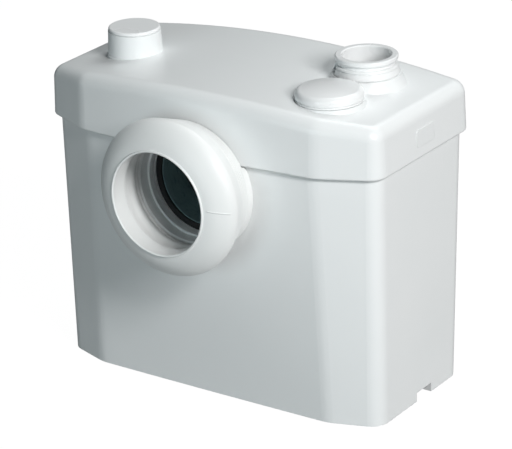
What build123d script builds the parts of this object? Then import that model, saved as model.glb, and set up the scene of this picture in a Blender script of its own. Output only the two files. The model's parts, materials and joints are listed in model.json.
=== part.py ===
from build123d import *
import os

os.makedirs("parts", exist_ok=True)

# Macerator toilet pump. X runs to the right, Y to the back and Z up.
# The origin is on the floor, below the middle of the lid. All lengths are millimetres.

# Fits between pieces, and the overrun that every cut shares
SLIP = 0.3
SNUG = 0.1
RUN = 0.05
OVERRUN = 2.0

# Lid outline at its lower edge
LID_WIDTH = 330.0
LID_DEPTH = 165.5
FRONT_BOW = 7.3
CHAMFER_WIDTH = 48.4
CHAMFER_DEPTH = 21.1
SIDE_CORNER_R = 16.0
FRONT_CORNER_R = 34.0
BACK_CORNER_R = 14.4

# Lid heights and wall
LID_RIM_Z = 218.1
LID_END_Z = 259.7
CROWN_RISE = 13.3
LID_DRAFT = 1.4
LID_WALL = 3.0
LID_EDGE_R = 11.5
LID_RIM_R = 2.0
LID_OVERHANG = 4.1
LID_POST_R = 4.0

# Raised release pads on the ends of the lid
RELEASE_FRONT_Y = -5.0
RELEASE_LENGTH = 27.0
RELEASE_HEIGHT = 15.0
RELEASE_LOW_Z = 228.0
RELEASE_RISE = 0.4
RELEASE_CORNER_R = 3.0

# Tank below the lid
TANK_WALL = 3.0
BASE_SIDE_DRAFT = 1.2
BASE_FRONT_DRAFT = 5.8
BASE_BACK_DRAFT = 10.7
BASE_BOW = 0.6
BASE_CHAMFER_WIDTH = 43.1
BASE_CHAMFER_DEPTH = 14.2
SHOULDER_Z = 222.0
SHOULDER_STEP = 1.5
TANK_RIM_Z = 240.0
LEDGE_THICKNESS = 5.0
LEDGE_INSET = 14.0
FLOOR_UNDER_Z = 10.0
FLOOR_THICKNESS = 3.0
RIB_THICKNESS = 3.0
RIB_SHARES = (-0.5, 0.0, 0.5)

# Notches in the skirt for the floor lugs
NOTCH_FRONT_Y = -2.0
NOTCH_LENGTH = 23.0
NOTCH_HEIGHT = 8.0
NOTCH_JAMB = 10.0

# Inlet through the front wall
INLET_Z = 193.0
INLET_R = 44.5
INLET_WALL = 2.3
INLET_INSET = 8.65
SPIGOT_R = 51.3
SPIGOT_BORE_R = 46.5
SPIGOT_LENGTH = 17.35
SPIGOT_STEP = 10.0
LID_NOTCH_GAP = 1.2

# Rubber collar on the inlet
LIP_R = 43.6
LIP_REACH = 41.2
LIP_DEPTH = 16.0
LIP_WALL = 2.2
LIP_PROUD = 1.2
COLLAR_R = 66.8
COLLAR_FACE = 20.2
COLLAR_BACK_R = 57.0
COLLAR_TUCK = 8.3
COLLAR_GROOVE = 0.5
COLLAR_GROOVE_PITCH = 3.6
COLLAR_GROOVES = 4
COLLAR_THROAT_R = 50.0
COLLAR_THROAT = 2.0
COLLAR_RIDGE_R = 45.8
COLLAR_RIDGE = 12.0
COLLAR_RECESS_R = 48.0
COLLAR_RECESS = 5.0
FACE_RISE_SHARE = 0.65
FACE_FALL_SHARE = 0.31
FACE_LEAN_SHARE = 0.2

# Black seal ring and the spout behind it
SEAL_RING_R = 39.6
SEAL_RING_LENGTH = 2.5
SPOUT_R = 39.0
SPOUT_WALL = 2.5
SPOUT_FLANGE = 4.5
SPOUT_LENGTH = 13.0
SPOUT_LIP_LENGTH = 24.0

# Tray that closes the tank and carries the motor
GASKET_THICKNESS = 2.0
DECK_THICKNESS = 3.0
DECK_INSET = 2.3
TRAY_SIDE_INSET = 25.9
TRAY_FRONT_INSET = 24.65
TRAY_BACK_INSET = 18.65
TRAY_CORNER_R = 12.0
TRAY_WALL = 2.5
TRAY_UNDER_Z = 212.0
TRAY_FLOOR = 3.0

# Screws that hold the tray down
DECK_SCREW_R = 1.9
DECK_SCREW_HEAD_R = 3.6
DECK_SCREW_HEAD = 2.4
SCREW_INSET = 8.0
SCREW_FRONT_INSET = 5.65
SCREW_SIDE_SHARE = 0.356
SCREW_BACK_SHARE = 0.435
SCREW_FRONT_SHARE = 0.528
POST_BACK_SHARE = 0.2175
POST_FRONT_SHARE = 0.6215
POST_FRONT_INSET = 8.65

# Motor, hung in a pot through the tray
POT_R = 36.0
POT_WALL = 2.5
POT_UNDER_Z = 118.0
POT_FLOOR = 5.0
POT_FLANGE_R = 40.0
POT_FLANGE = 3.0
POT_LEDGE_Z = 152.0
POT_LEDGE = 1.8
BOSS_R = 17.0
BOSS_UNDER_Z = 100.0
SHAFT_R = 5.0
SHAFT_TOP_Z = 234.0
SHAFT_LOW_Z = 19.5
BEARING_R = 13.0
BEARING_HEIGHT = 8.0
BEARING_RACE = 3.0
BEARING_GROOVE = 0.8
LOWER_BEARING_Z = 112.0
UPPER_BEARING_Z = 228.0
SEAL_POCKET_R = 11.0
SHAFT_HOLE_R = 6.5
STACK_HEIGHT = 51.0
AIR_GAP = 0.5
ROTOR_R = 19.0
SLOTS = 12
SLOT_DEPTH = 6.0
SLOT_WIDTH = 3.2
WINDING_HEIGHT = 10.0
WINDING_INNER_R = 22.0
WINDING_OUTER_R = 31.5
CAP_TOP_Z = 243.0
CAP_WALL = 2.5
CAP_EDGE_R = 5.0

# Parts that lie in the dry tray
CAPACITOR_R = 15.0
CAPACITOR_LENGTH = 62.0
CAPACITOR_GAP = 90.0
CAPACITOR_INSET = 20.0
CAPACITOR_CRIMP_R = 11.0
CAPACITOR_CRIMP = 4.0
CLIP_THICKNESS = 1.6
CLIP_WIDTH = 12.0
CLIP_FOOT = 44.0
TERMINAL_GAP = 65.0
TERMINAL_INSET = 16.0
TERMINAL_LENGTH = 36.0
TERMINAL_DEPTH = 14.0
TERMINAL_HEIGHT = 14.0
TERMINAL_WAYS = 4
TERMINAL_HOLE_R = 2.2

# Cord gland in the back of the lid
GLAND_X = -60.0
GLAND_Z = 253.0
GLAND_BORE_R = 3.8
GLAND_NECK_R = 5.5
GLAND_FLANGE_R = 8.0
GLAND_FLANGE = 3.0
GLAND_NOSE_R = 6.5
GLAND_NOSE = 9.0
GLAND_NUT_R = 7.5
GLAND_NUT = 3.0

# Grinder basket and blade
BASKET_LEFT_INSET = 98.9
BASKET_RIGHT_INSET = 77.9
BASKET_FRONT_INSET = 28.65
BASKET_BACK_INSET = 40.65
BASKET_CORNER_R = 18.0
BASKET_WALL = 2.5
BASKET_FLOOR = 3.0
BASKET_TOP_Z = 130.0
BASKET_RIM = 3.0
BASKET_RIM_HEIGHT = 4.0
BASKET_SLOT_WIDTH = 5.0
BASKET_SLOT_PITCH = 10.0
BASKET_SLOT_MARGIN = 12.0
BASKET_LEG_R = 4.0
BASKET_LEG_INSET = 10.0
BLADE_Z = 80.0
BLADE_THICKNESS = 3.0
BLADE_R = 32.0
BLADE_WIDTH = 14.0
BLADE_TOOTH = 9.0
HUB_R = 10.0
HUB_HEIGHT = 12.0

# Pump below the basket
PLATE_LOW_Z = 18.0
PLATE_THICKNESS = 4.0
PLATE_FOOT_R = 5.0
SUCTION_R = 14.0
VOLUTE_R = 37.5
VOLUTE_WALL = 3.5
VOLUTE_TOP_Z = 52.0
VOLUTE_ROOF = 4.0
OUTLET_OFFSET = 28.0
OUTLET_R = 9.5
OUTLET_WALL = 3.0
OUTLET_REACH = 51.0
IMPELLER_R = 29.0
IMPELLER_DISC = 3.0
VANE_THICKNESS = 3.0
VANES = 6
IMPELLER_GAP = 1.5
IMPELLER_HUB_R = 9.0
NUT_R = 7.0
NUT_HEIGHT = 5.0
PUMP_SCREW_R = 1.8
PUMP_SCREW_HEAD_R = 3.4
PUMP_SCREW_HEAD = 2.0
PUMP_SCREW_LENGTH = 14.0
PUMP_SCREW_LUG_R = 5.5
PUMP_SCREWS = 4

# Discharge: riser, valve and open top port
PORT_INSET = 59.9
RISER_GAP = 10.0
RISER_R = 14.0
RISER_WALL = 3.0
RISER_TOP_Z = 228.0
RISER_FOOT = 3.0
SOCKET_R = 15.5
SOCKET_LENGTH = 9.0
GROMMET_R = 18.5
GROMMET_HEIGHT = 4.0
VALVE_R = 20.0
VALVE_WALL = 3.0
VALVE_TOP_Z = 262.0
VALVE_FLOOR = 3.0
VALVE_SOCKET_R = 18.0
SEAT_R = 11.0
SEAT_SEAL_WALL = 1.4
SEAT_SEAL_HEIGHT = 1.5
FLAP_R = 13.5
FLAP_THICKNESS = 2.0
FLAP_SET_BACK = 0.5
FLAP_KNUCKLE_R = 2.6
FLAP_KNUCKLE_LENGTH = 10.0
PIN_R = 1.2
PIN_HALF_LENGTH = 13.5
PIN_BACK = 12.5
PIN_RISE = 3.2

# Sleeve of the open top port, its band and its pad on the lid
SLEEVE_R = 20.4
SLEEVE_WALL = 3.3
PORT_RISE = 15.5
PORT_FLANGE_R = 26.0
PORT_FLANGE = 3.2
PORT_FLANGE_CONE = 2.4
BAND_R = 27.6
BAND_TAPER = 1.8
BAND_HEIGHT = 8.0
BAND_TURN = 128.0
BAND_SLIT = 10.0
BAND_GROOVE = 0.3
BAND_GROOVE_WIDTH = 0.7
BAND_SEAM_SHARES = (0.7,)
BAND_SCREW_SHARE = 0.32
BAND_SCREW_R = 0.8
BAND_SCREW_GRIP = 1.5
PORT_PAD_R = 29.0
PORT_PAD_RISE = 6.5
PAD_FLARE = 12.0
PAD_SKIRT = 14.0
PAD_FOOT_LEAN_SHARE = 0.2
PAD_TOP_LEAN_SHARE = 0.25

# Unused top inlet and its blanking cap
SPARE_INSET = 58.9
SPARE_PITCH = 57.5
SPARE_R = 19.0
SPARE_WALL = 2.5
SPARE_TOP_Z = 262.0
SPARE_PAD_R = 28.5
SPARE_PAD_RISE = 1.1
BLANK_R = 28.0
BLANK_HEIGHT = 11.6
BLANK_EDGE_R = 5.0
BLANK_DOME = 2.0
BLANK_WALL = 2.5
BLANK_GROOVE = 0.5
BLANK_GROOVE_RISE = 1.6
PLUG_R = 13.8
PLUG_LOW_Z = 254.0
PLUG_END_R = 15.6
PLUG_END = 3.0
PLUG_SEAL_HEIGHT = 4.0

# Vent: upstand, chimney, filter and cap
VENT_INSET = 52.9
VENT_Y = -14.0
UPSTAND_R = 15.0
UPSTAND_WALL = 2.5
UPSTAND_TOP_Z = 258.0
CHIMNEY_BASE_R = 23.3
CHIMNEY_TOP_R = 22.4
CHIMNEY_HEIGHT = 20.7
CHIMNEY_BORE_R = 17.5
CHIMNEY_FILLET = 1.0
COLLAR_TUBE_R = 17.6
COLLAR_TUBE_LOW_Z = 252.0
FILTER_LOW_Z = 266.0
FILTER_HEIGHT = 9.0
VENT_CAP_R = 22.0
VENT_CAP_HEIGHT = 3.0
VENT_CAP_EDGE_R = 1.6
VENT_CAP_GROOVE = 0.5
VENT_PLUG_R = 17.2
VENT_PLUG_WALL = 2.2
VENT_PLUG_LENGTH = 7.0

# Level switch: bell, diaphragm, plunger, lever and microswitch
BELL_SIDE_INSET = 65.9
BELL_BACK_INSET = 43.65
BELL_R = 10.0
BELL_WALL = 2.0
BELL_LOW_Z = 56.0
BELL_FLANGE_R = 19.0
BELL_FLANGE = 3.0
DIAPHRAGM_R = 18.0
DIAPHRAGM_THICKNESS = 1.5
DIAPHRAGM_COVER_R = 20.0
DIAPHRAGM_COVER_HEIGHT = 11.0
DIAPHRAGM_COVER_WALL = 2.0
PLUNGER_FOOT_R = 8.0
PLUNGER_FOOT = 2.0
PLUNGER_R = 3.0
PLUNGER_TIP_R = 1.0
PLUNGER_TIP = 2.0
PLUNGER_TOP_Z = 232.0
PLUNGER_TRAVEL = 3.0
LEVER_ARM = 22.0
LEVER_TAIL = 4.0
LEVER_THICKNESS = 1.0
LEVER_WIDTH = 5.0
LEVER_KNUCKLE_R = 2.0
LEVER_PIN_R = 1.0
SWITCH_LENGTH = 24.0
SWITCH_WIDTH = 8.0
SWITCH_HEIGHT = 10.0
SWITCH_LIFT = 1.0
SWITCH_HOLE_SHARES = (0.2, 0.8)
BRACKET_THICKNESS = 2.0

# Places worked out from the sizes above
QUARTER_TURN = 90
FULL_TURN = 360
TANK_HALF = LID_WIDTH / 2 - LID_OVERHANG
TANK_REACH = LID_DEPTH / 2 - LID_OVERHANG
CROWN_R = ((LID_WIDTH / 2) ** 2 + CROWN_RISE**2) / (2 * CROWN_RISE)
CROWN_TOP_Z = LID_END_Z + CROWN_RISE


def crown_z(x):
    """Height of the lid's crown at a distance from its middle."""
    return CROWN_TOP_Z - CROWN_RISE * (2 * x / LID_WIDTH) ** 2


INLET_INNER_Y = INLET_INSET - TANK_REACH
SPIGOT_FRONT_Y = -TANK_REACH - SPIGOT_LENGTH
SPIGOT_STEP_Y = SPIGOT_FRONT_Y + SPIGOT_STEP
LIP_FRONT = LIP_REACH - SPIGOT_FRONT_Y
COLLAR_SHOULDER = LIP_FRONT - COLLAR_FACE
COLLAR_CONTACT = LID_DEPTH / 2 + FRONT_BOW + SLIP
COLLAR_BACK = COLLAR_CONTACT - COLLAR_TUCK
TRAY_HALF_WIDTH = TANK_HALF - TRAY_SIDE_INSET
TRAY_FRONT_Y = TRAY_FRONT_INSET - TANK_REACH
TRAY_BACK_Y = TANK_REACH - TRAY_BACK_INSET
BASKET_LEFT_X = BASKET_LEFT_INSET - TANK_HALF
BASKET_RIGHT_X = TANK_HALF - BASKET_RIGHT_INSET
BASKET_FRONT_Y = BASKET_FRONT_INSET - TANK_REACH
BASKET_BACK_Y = TANK_REACH - BASKET_BACK_INSET
PORT_X = TANK_HALF - PORT_INSET
MOTOR_X = PORT_X - OUTLET_REACH - RISER_GAP
MOTOR_Y = (BASKET_FRONT_Y + BASKET_BACK_Y) / 2
PORT_Y = MOTOR_Y + OUTLET_OFFSET
SPARE_X = TANK_HALF - SPARE_INSET
SPARE_Y = PORT_Y - SPARE_PITCH
VENT_X = VENT_INSET - TANK_HALF
BELL_X = BELL_SIDE_INSET - TANK_HALF
BELL_Y = TANK_REACH - BELL_BACK_INSET
CAPACITOR_X = MOTOR_X - CAPACITOR_GAP
CAPACITOR_Y = TRAY_FRONT_Y + CAPACITOR_INSET
TERMINAL_X = MOTOR_X - TERMINAL_GAP
TERMINAL_Y = TRAY_BACK_Y - TERMINAL_INSET
PORT_PAD_Z = crown_z(PORT_X) + PORT_PAD_RISE
PORT_TOP_Z = PORT_PAD_Z + PORT_RISE
SPARE_PAD_Z = crown_z(SPARE_X) + SPARE_PAD_RISE
BLANK_TOP_Z = SPARE_PAD_Z + BLANK_HEIGHT
CHIMNEY_TOP_Z = crown_z(VENT_X) + CHIMNEY_HEIGHT
VENT_CAP_TOP_Z = CHIMNEY_TOP_Z + VENT_CAP_HEIGHT
LEDGE_Z = TANK_RIM_Z - LEDGE_THICKNESS
FLOOR_TOP_Z = FLOOR_UNDER_Z + FLOOR_THICKNESS
GASKET_TOP_Z = TANK_RIM_Z + GASKET_THICKNESS
DECK_TOP_Z = GASKET_TOP_Z + DECK_THICKNESS
TRAY_TOP_Z = TRAY_UNDER_Z + TRAY_FLOOR
POT_TOP_Z = TRAY_TOP_Z + POT_FLANGE
STACK_TOP_Z = POT_LEDGE_Z + STACK_HEIGHT
SLEEVE_OUTER_R = SLEEVE_R + SLEEVE_WALL
BAND_MIDDLE_R = (SLEEVE_OUTER_R + SNUG + BAND_R - BAND_TAPER * BAND_SCREW_SHARE) / 2
BAND_SCREW_Z = PORT_PAD_Z + BAND_HEIGHT * BAND_SCREW_SHARE
SLEEVE_LOW_Z = VALVE_TOP_Z + SLIP
PLATE_TOP_Z = PLATE_LOW_Z + PLATE_THICKNESS
VOLUTE_CEILING_Z = VOLUTE_TOP_Z - VOLUTE_ROOF
OUTLET_Z = (PLATE_TOP_Z + VOLUTE_CEILING_Z) / 2
OUTLET_OUTER_R = OUTLET_R + OUTLET_WALL
BASKET_FLOOR_Z = VOLUTE_TOP_Z
GROMMET_TOP_Z = TRAY_TOP_Z + GROMMET_HEIGHT
SEAT_Z = RISER_TOP_Z + VALVE_FLOOR
FLAP_Z = SEAT_Z + SEAT_SEAL_HEIGHT
PIN_Y = PORT_Y + PIN_BACK
PIN_Z = FLAP_Z + PIN_RISE
COVER_LOW_Z = TRAY_TOP_Z + DIAPHRAGM_THICKNESS
COVER_TOP_Z = COVER_LOW_Z + DIAPHRAGM_COVER_HEIGHT
LEVER_Z = PLUNGER_TOP_Z + SLIP
LEVER_PIN_X = BELL_X + LEVER_ARM
LEVER_PIN_Z = LEVER_Z + LEVER_THICKNESS / 2
SWITCH_LOW_Z = LEVER_Z + LEVER_THICKNESS + PLUNGER_TRAVEL + SWITCH_LIFT


def case_outline(half_width, front, back, bow, chamfer_width, chamfer_depth, inset=0):
    """Flat outline of the case: a bowed front between two chamfers, and a straight back."""
    corner = half_width - chamfer_width
    side = front + chamfer_depth
    edges = [
        Line((-half_width, side), (-corner, front)),
        ThreePointArc((-corner, front), (0, front - bow), (corner, front)),
        Line((corner, front), (half_width, side)),
        Line((half_width, side), (half_width, back)),
        Line((half_width, back), (-half_width, back)),
        Line((-half_width, back), (-half_width, side)),
    ]
    face = make_face(edges).faces()[0]
    turned_up = face if face.normal_at().Z > 0 else -face
    for places, radius in (
        ([(-half_width, side), (half_width, side)], SIDE_CORNER_R),
        ([(-corner, front), (corner, front)], FRONT_CORNER_R),
        ([(-half_width, back), (half_width, back)], BACK_CORNER_R),
    ):
        corners = [
            vertex
            for vertex in turned_up.vertices()
            if any((Vector(vertex.X, vertex.Y) - Vector(*place)).length < SNUG for place in places)
        ]
        turned_up = turned_up.fillet_2d(radius, corners)
    if inset:
        return offset(Sketch([turned_up]), amount=-inset).faces()[0]
    return turned_up


def lid_outline(inset=0):
    """Outline of the lid at its lower edge."""
    return case_outline(
        LID_WIDTH / 2, -LID_DEPTH / 2, LID_DEPTH / 2, FRONT_BOW, CHAMFER_WIDTH, CHAMFER_DEPTH, inset
    )


def tank_outline(height, inset=0):
    """Outline of the tapered tank at a height above the floor."""
    share = height / LID_RIM_Z
    rest = 1 - share
    return case_outline(
        TANK_HALF - BASE_SIDE_DRAFT * rest,
        -TANK_REACH + BASE_FRONT_DRAFT * rest,
        TANK_REACH - BASE_BACK_DRAFT * rest,
        BASE_BOW * rest + FRONT_BOW * share,
        BASE_CHAMFER_WIDTH * rest + CHAMFER_WIDTH * share,
        BASE_CHAMFER_DEPTH * rest + CHAMFER_DEPTH * share,
        inset,
    )


def ruled(low_face, low_z, high_face, high_z):
    """Straight-walled solid between two outlines at two heights."""
    return loft([Pos(0, 0, low_z) * low_face, Pos(0, 0, high_z) * high_face], ruled=True)


def prism(face, low_z, high_z):
    """Upright solid on an outline."""
    return extrude(Pos(0, 0, low_z) * face, high_z - low_z, dir=(0, 0, 1))


def rod(radius, low_z, high_z, x=0, y=0):
    """Upright round bar."""
    return Pos(x, y, (low_z + high_z) / 2) * Cylinder(radius, high_z - low_z)


def tube(outer, inner, low_z, high_z, x=0, y=0):
    """Upright ring or pipe."""
    return rod(outer, low_z, high_z, x, y) - rod(inner, low_z - OVERRUN, high_z + OVERRUN, x, y)


def rod_y(radius, front, back, x=0, z=0):
    """Round bar that runs from front to back."""
    return Pos(x, (front + back) / 2, z) * Rot(QUARTER_TURN, 0, 0) * Cylinder(radius, back - front)


def rod_x(radius, left, right, y=0, z=0):
    """Round bar that runs from left to right."""
    return Pos((left + right) / 2, y, z) * Rot(0, QUARTER_TURN, 0) * Cylinder(radius, right - left)


def block(left, right, front, back, low_z, high_z):
    """Box between two corners."""
    middle = Pos((left + right) / 2, (front + back) / 2, (low_z + high_z) / 2)
    return middle * Box(right - left, back - front, high_z - low_z)


def turned(points, x=0, y=0):
    """Solid of revolution about an upright axis, from radius and height pairs."""
    profile = make_face(Plane.XZ * Polyline(*points, close=True))
    return Pos(x, y, 0) * revolve(profile, Axis.Z)


def rounded_tray(inset, low_z, high_z):
    """Upright rounded box on the tray's outline."""
    middle = Pos(0, (TRAY_FRONT_Y + TRAY_BACK_Y) / 2)
    width = 2 * (TRAY_HALF_WIDTH - inset)
    depth = TRAY_BACK_Y - TRAY_FRONT_Y - 2 * inset
    return prism((middle * RectangleRounded(width, depth, TRAY_CORNER_R - inset)).faces()[0], low_z, high_z)


def screw_places():
    """Places of the tray's screws on the ledge."""
    side = TANK_HALF - SCREW_INSET
    back = TANK_REACH - SCREW_INSET
    return [
        (hand * x, y)
        for hand in (-1, 1)
        for x, y in (
            (side, SCREW_SIDE_SHARE * TANK_REACH),
            (side, -SCREW_SIDE_SHARE * TANK_REACH),
            (SCREW_BACK_SHARE * TANK_HALF, back),
            (SCREW_FRONT_SHARE * TANK_HALF, SCREW_FRONT_INSET - TANK_REACH),
        )
    ]


def post_places():
    """Places where the lid's posts stand on the tray."""
    side = TANK_HALF - SCREW_INSET
    back = TANK_REACH - SCREW_INSET
    front = POST_FRONT_INSET - TANK_REACH
    places = ((side, 0), (POST_BACK_SHARE * TANK_HALF, back), (POST_FRONT_SHARE * TANK_HALF, front))
    return [(hand * x, y) for hand in (-1, 1) for x, y in places]


def notched(body, hand):
    """Floor-lug notch with its two jambs, cut in one side of the tank's skirt."""
    outer = hand * (TANK_HALF + OVERRUN)
    inner = hand * (TANK_HALF - BASE_SIDE_DRAFT - TANK_WALL - NOTCH_JAMB)
    wall = hand * (TANK_HALF - BASE_SIDE_DRAFT - TANK_WALL / 2)
    back = NOTCH_FRONT_Y + NOTCH_LENGTH
    for jamb in (NOTCH_FRONT_Y - RIB_THICKNESS, back):
        body += block(min(inner, wall), max(inner, wall), jamb, jamb + RIB_THICKNESS, 0, FLOOR_UNDER_Z + SNUG)
    return body - block(min(inner, outer), max(inner, outer), NOTCH_FRONT_Y, back, -OVERRUN, NOTCH_HEIGHT)


def tank():
    """Tapered outer tank with its skirt, floor, rim, ledge and inlet spigot."""
    body = ruled(tank_outline(0), 0, tank_outline(SHOULDER_Z), SHOULDER_Z)
    body += prism(tank_outline(SHOULDER_Z, SHOULDER_STEP), SHOULDER_Z, TANK_RIM_Z)
    spigot = rod_y(SPIGOT_R, SPIGOT_FRONT_Y, INLET_INNER_Y, 0, INLET_Z)
    above_rim = prism(tank_outline(SHOULDER_Z, SHOULDER_STEP), TANK_RIM_Z, TANK_RIM_Z + SPIGOT_R)
    body += spigot - above_rim
    low, high = -OVERRUN, FLOOR_UNDER_Z
    hollow = ruled(tank_outline(low, TANK_WALL), low, tank_outline(high, TANK_WALL), high)
    rim_inset = SHOULDER_STEP + TANK_WALL
    room = ruled(
        tank_outline(FLOOR_TOP_Z, TANK_WALL), FLOOR_TOP_Z, tank_outline(SHOULDER_Z, TANK_WALL), SHOULDER_Z
    )
    room += prism(tank_outline(SHOULDER_Z, rim_inset), SHOULDER_Z, LEDGE_Z)
    room += prism(tank_outline(SHOULDER_Z, LEDGE_INSET), LEDGE_Z, TANK_RIM_Z + OVERRUN)
    body = body - hollow - room
    ribs = block(-TANK_HALF, TANK_HALF, -RIB_THICKNESS / 2, RIB_THICKNESS / 2, 0, FLOOR_UNDER_Z)
    for share in RIB_SHARES:
        middle = share * TANK_HALF
        left, right = middle - RIB_THICKNESS / 2, middle + RIB_THICKNESS / 2
        ribs += block(left, right, -TANK_REACH, TANK_REACH, 0, FLOOR_UNDER_Z)
    body += ribs & ruled(tank_outline(0, TANK_WALL / 2), 0, tank_outline(high, TANK_WALL / 2), high)
    for hand in (-1, 1):
        body = notched(body, hand)
    body += rod_y(INLET_R + INLET_WALL, -TANK_REACH, INLET_INNER_Y, 0, INLET_Z)
    body -= rod_y(INLET_R, SPIGOT_FRONT_Y - OVERRUN, INLET_INNER_Y + OVERRUN, 0, INLET_Z)
    body -= rod_y(SPIGOT_BORE_R, SPIGOT_FRONT_Y - OVERRUN, SPIGOT_STEP_Y, 0, INLET_Z)
    for x, y in screw_places():
        body -= rod(DECK_SCREW_R + RUN, LEDGE_Z - OVERRUN, TANK_RIM_Z + OVERRUN, x, y)
    return body


def crown(drop):
    """Long drum whose top gives the lid its crown."""
    return Pos(0, 0, CROWN_TOP_Z - CROWN_R) * Rot(QUARTER_TURN, 0, 0) * Cylinder(CROWN_R - drop, 2 * LID_DEPTH)


def lid_block(inset, drop, low_z):
    """Solid of the lid's outer shape, or of its hollow when inset and dropped."""
    top_z = CROWN_TOP_Z + OVERRUN
    lean = LID_DRAFT / (LID_END_Z - LID_RIM_Z)
    low_face = lid_outline(inset + lean * (low_z - LID_RIM_Z))
    high_face = lid_outline(inset + lean * (top_z - LID_RIM_Z))
    return ruled(low_face, low_z, high_face, top_z) & crown(drop)


def release_pad(hand):
    """Raised release pad on one end of the lid."""
    middle_y = RELEASE_FRONT_Y + RELEASE_LENGTH / 2
    middle_z = RELEASE_LOW_Z + RELEASE_HEIGHT / 2
    face = Plane.YZ * RectangleRounded(RELEASE_LENGTH, RELEASE_HEIGHT, RELEASE_CORNER_R)
    end = LID_WIDTH / 2 - LID_DRAFT * (middle_z - LID_RIM_Z) / (LID_END_Z - LID_RIM_Z)
    raised = extrude(face, RELEASE_RISE + LID_WALL / 2, dir=(1, 0, 0))
    start = end - LID_WALL / 2 if hand > 0 else -end - RELEASE_RISE
    return Pos(start, middle_y, middle_z) * raised


def pad(radius, top_z, x, y):
    """Low swell of the lid under a port, flat on top with a hollow flank that runs out in the crown."""
    foot = min(top_z - PAD_SKIRT, LID_END_Z)
    reach = radius + PAD_FLARE
    flank = Spline((reach, foot), (radius, top_z), tangents=[(-1, PAD_FOOT_LEAN_SHARE), (-PAD_TOP_LEAN_SHARE, 1)])
    rest = Polyline((radius, top_z), (0, top_z), (0, foot), (reach, foot))
    return Pos(x, y, 0) * revolve(Plane.XZ * make_face([flank, rest]), Axis.Z)


def lid():
    """Crowned outer cover with its chimney, pads, posts and inlet notch."""
    shell = lid_block(0, 0, LID_RIM_Z)
    top_edges = [edge for edge in shell.edges() if edge.center().Z > LID_END_Z - OVERRUN]
    shell = fillet(top_edges, LID_EDGE_R)
    rim_edges = [edge for edge in shell.edges() if edge.center().Z < LID_RIM_Z + SNUG]
    shell = fillet(rim_edges, LID_RIM_R)
    base_z = crown_z(VENT_X)
    chimney = turned(
        [
            (0, base_z - LID_WALL),
            (CHIMNEY_BASE_R + CHIMNEY_FILLET, base_z - LID_WALL),
            (CHIMNEY_BASE_R + CHIMNEY_FILLET, base_z - SNUG),
            (CHIMNEY_BASE_R, base_z + CHIMNEY_FILLET),
            (CHIMNEY_TOP_R, CHIMNEY_TOP_Z),
            (0, CHIMNEY_TOP_Z),
        ],
        VENT_X,
        VENT_Y,
    )
    shell += chimney
    shell += pad(PORT_PAD_R, PORT_PAD_Z, PORT_X, PORT_Y)
    shell += pad(SPARE_PAD_R, SPARE_PAD_Z, SPARE_X, SPARE_Y)
    hollow = lid_block(LID_WALL, LID_WALL, LID_RIM_Z - OVERRUN)
    hollow_edges = [edge for edge in hollow.edges() if edge.center().Z > LID_END_Z - LID_WALL - OVERRUN]
    hollow = fillet(hollow_edges, LID_EDGE_R - LID_WALL)
    posts = [rod(LID_POST_R, DECK_TOP_Z, CROWN_TOP_Z, x, y) for x, y in post_places()]
    inside = rod(COLLAR_TUBE_R, COLLAR_TUBE_LOW_Z, base_z, VENT_X, VENT_Y)
    for post in posts:
        inside += post
    shell = shell - (hollow - inside)
    shell -= rod(UPSTAND_R + SLIP, COLLAR_TUBE_LOW_Z - OVERRUN, CHIMNEY_TOP_Z, VENT_X, VENT_Y)
    shell -= rod(CHIMNEY_BORE_R, FILTER_LOW_Z, CHIMNEY_TOP_Z + OVERRUN, VENT_X, VENT_Y)
    shell -= rod(SLEEVE_OUTER_R + SLIP, COLLAR_TUBE_LOW_Z, PORT_TOP_Z, PORT_X, PORT_Y)
    shell -= rod(SPARE_R + SLIP, LID_END_Z - LID_WALL - OVERRUN, PORT_TOP_Z, SPARE_X, SPARE_Y)
    shell -= rod(BLANK_R + LID_NOTCH_GAP, SPARE_PAD_Z, PORT_TOP_Z, SPARE_X, SPARE_Y)
    shell -= rod_y(SPIGOT_R + LID_NOTCH_GAP, -LID_DEPTH, INLET_INNER_Y, 0, INLET_Z)
    outside, inside = gland_seats()
    shell -= rod_y(GLAND_NECK_R + SNUG, TRAY_BACK_Y, LID_DEPTH, GLAND_X, GLAND_Z)
    shell -= rod_y(GLAND_FLANGE_R + SLIP, outside, LID_DEPTH, GLAND_X, GLAND_Z)
    shell -= rod_y(GLAND_NUT_R + SLIP, TRAY_BACK_Y, inside, GLAND_X, GLAND_Z)
    for hand in (-1, 1):
        shell += release_pad(hand)
    return shell


def gasket():
    """Flat rubber seal between the rim and the tray."""
    ring = prism(tank_outline(SHOULDER_Z, DECK_INSET), TANK_RIM_Z, GASKET_TOP_Z)
    ring -= prism(tank_outline(SHOULDER_Z, LEDGE_INSET), TANK_RIM_Z - OVERRUN, GASKET_TOP_Z + OVERRUN)
    for x, y in screw_places():
        ring -= rod(DECK_SCREW_R + SLIP, TANK_RIM_Z - OVERRUN, GASKET_TOP_Z + OVERRUN, x, y)
    return ring


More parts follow.
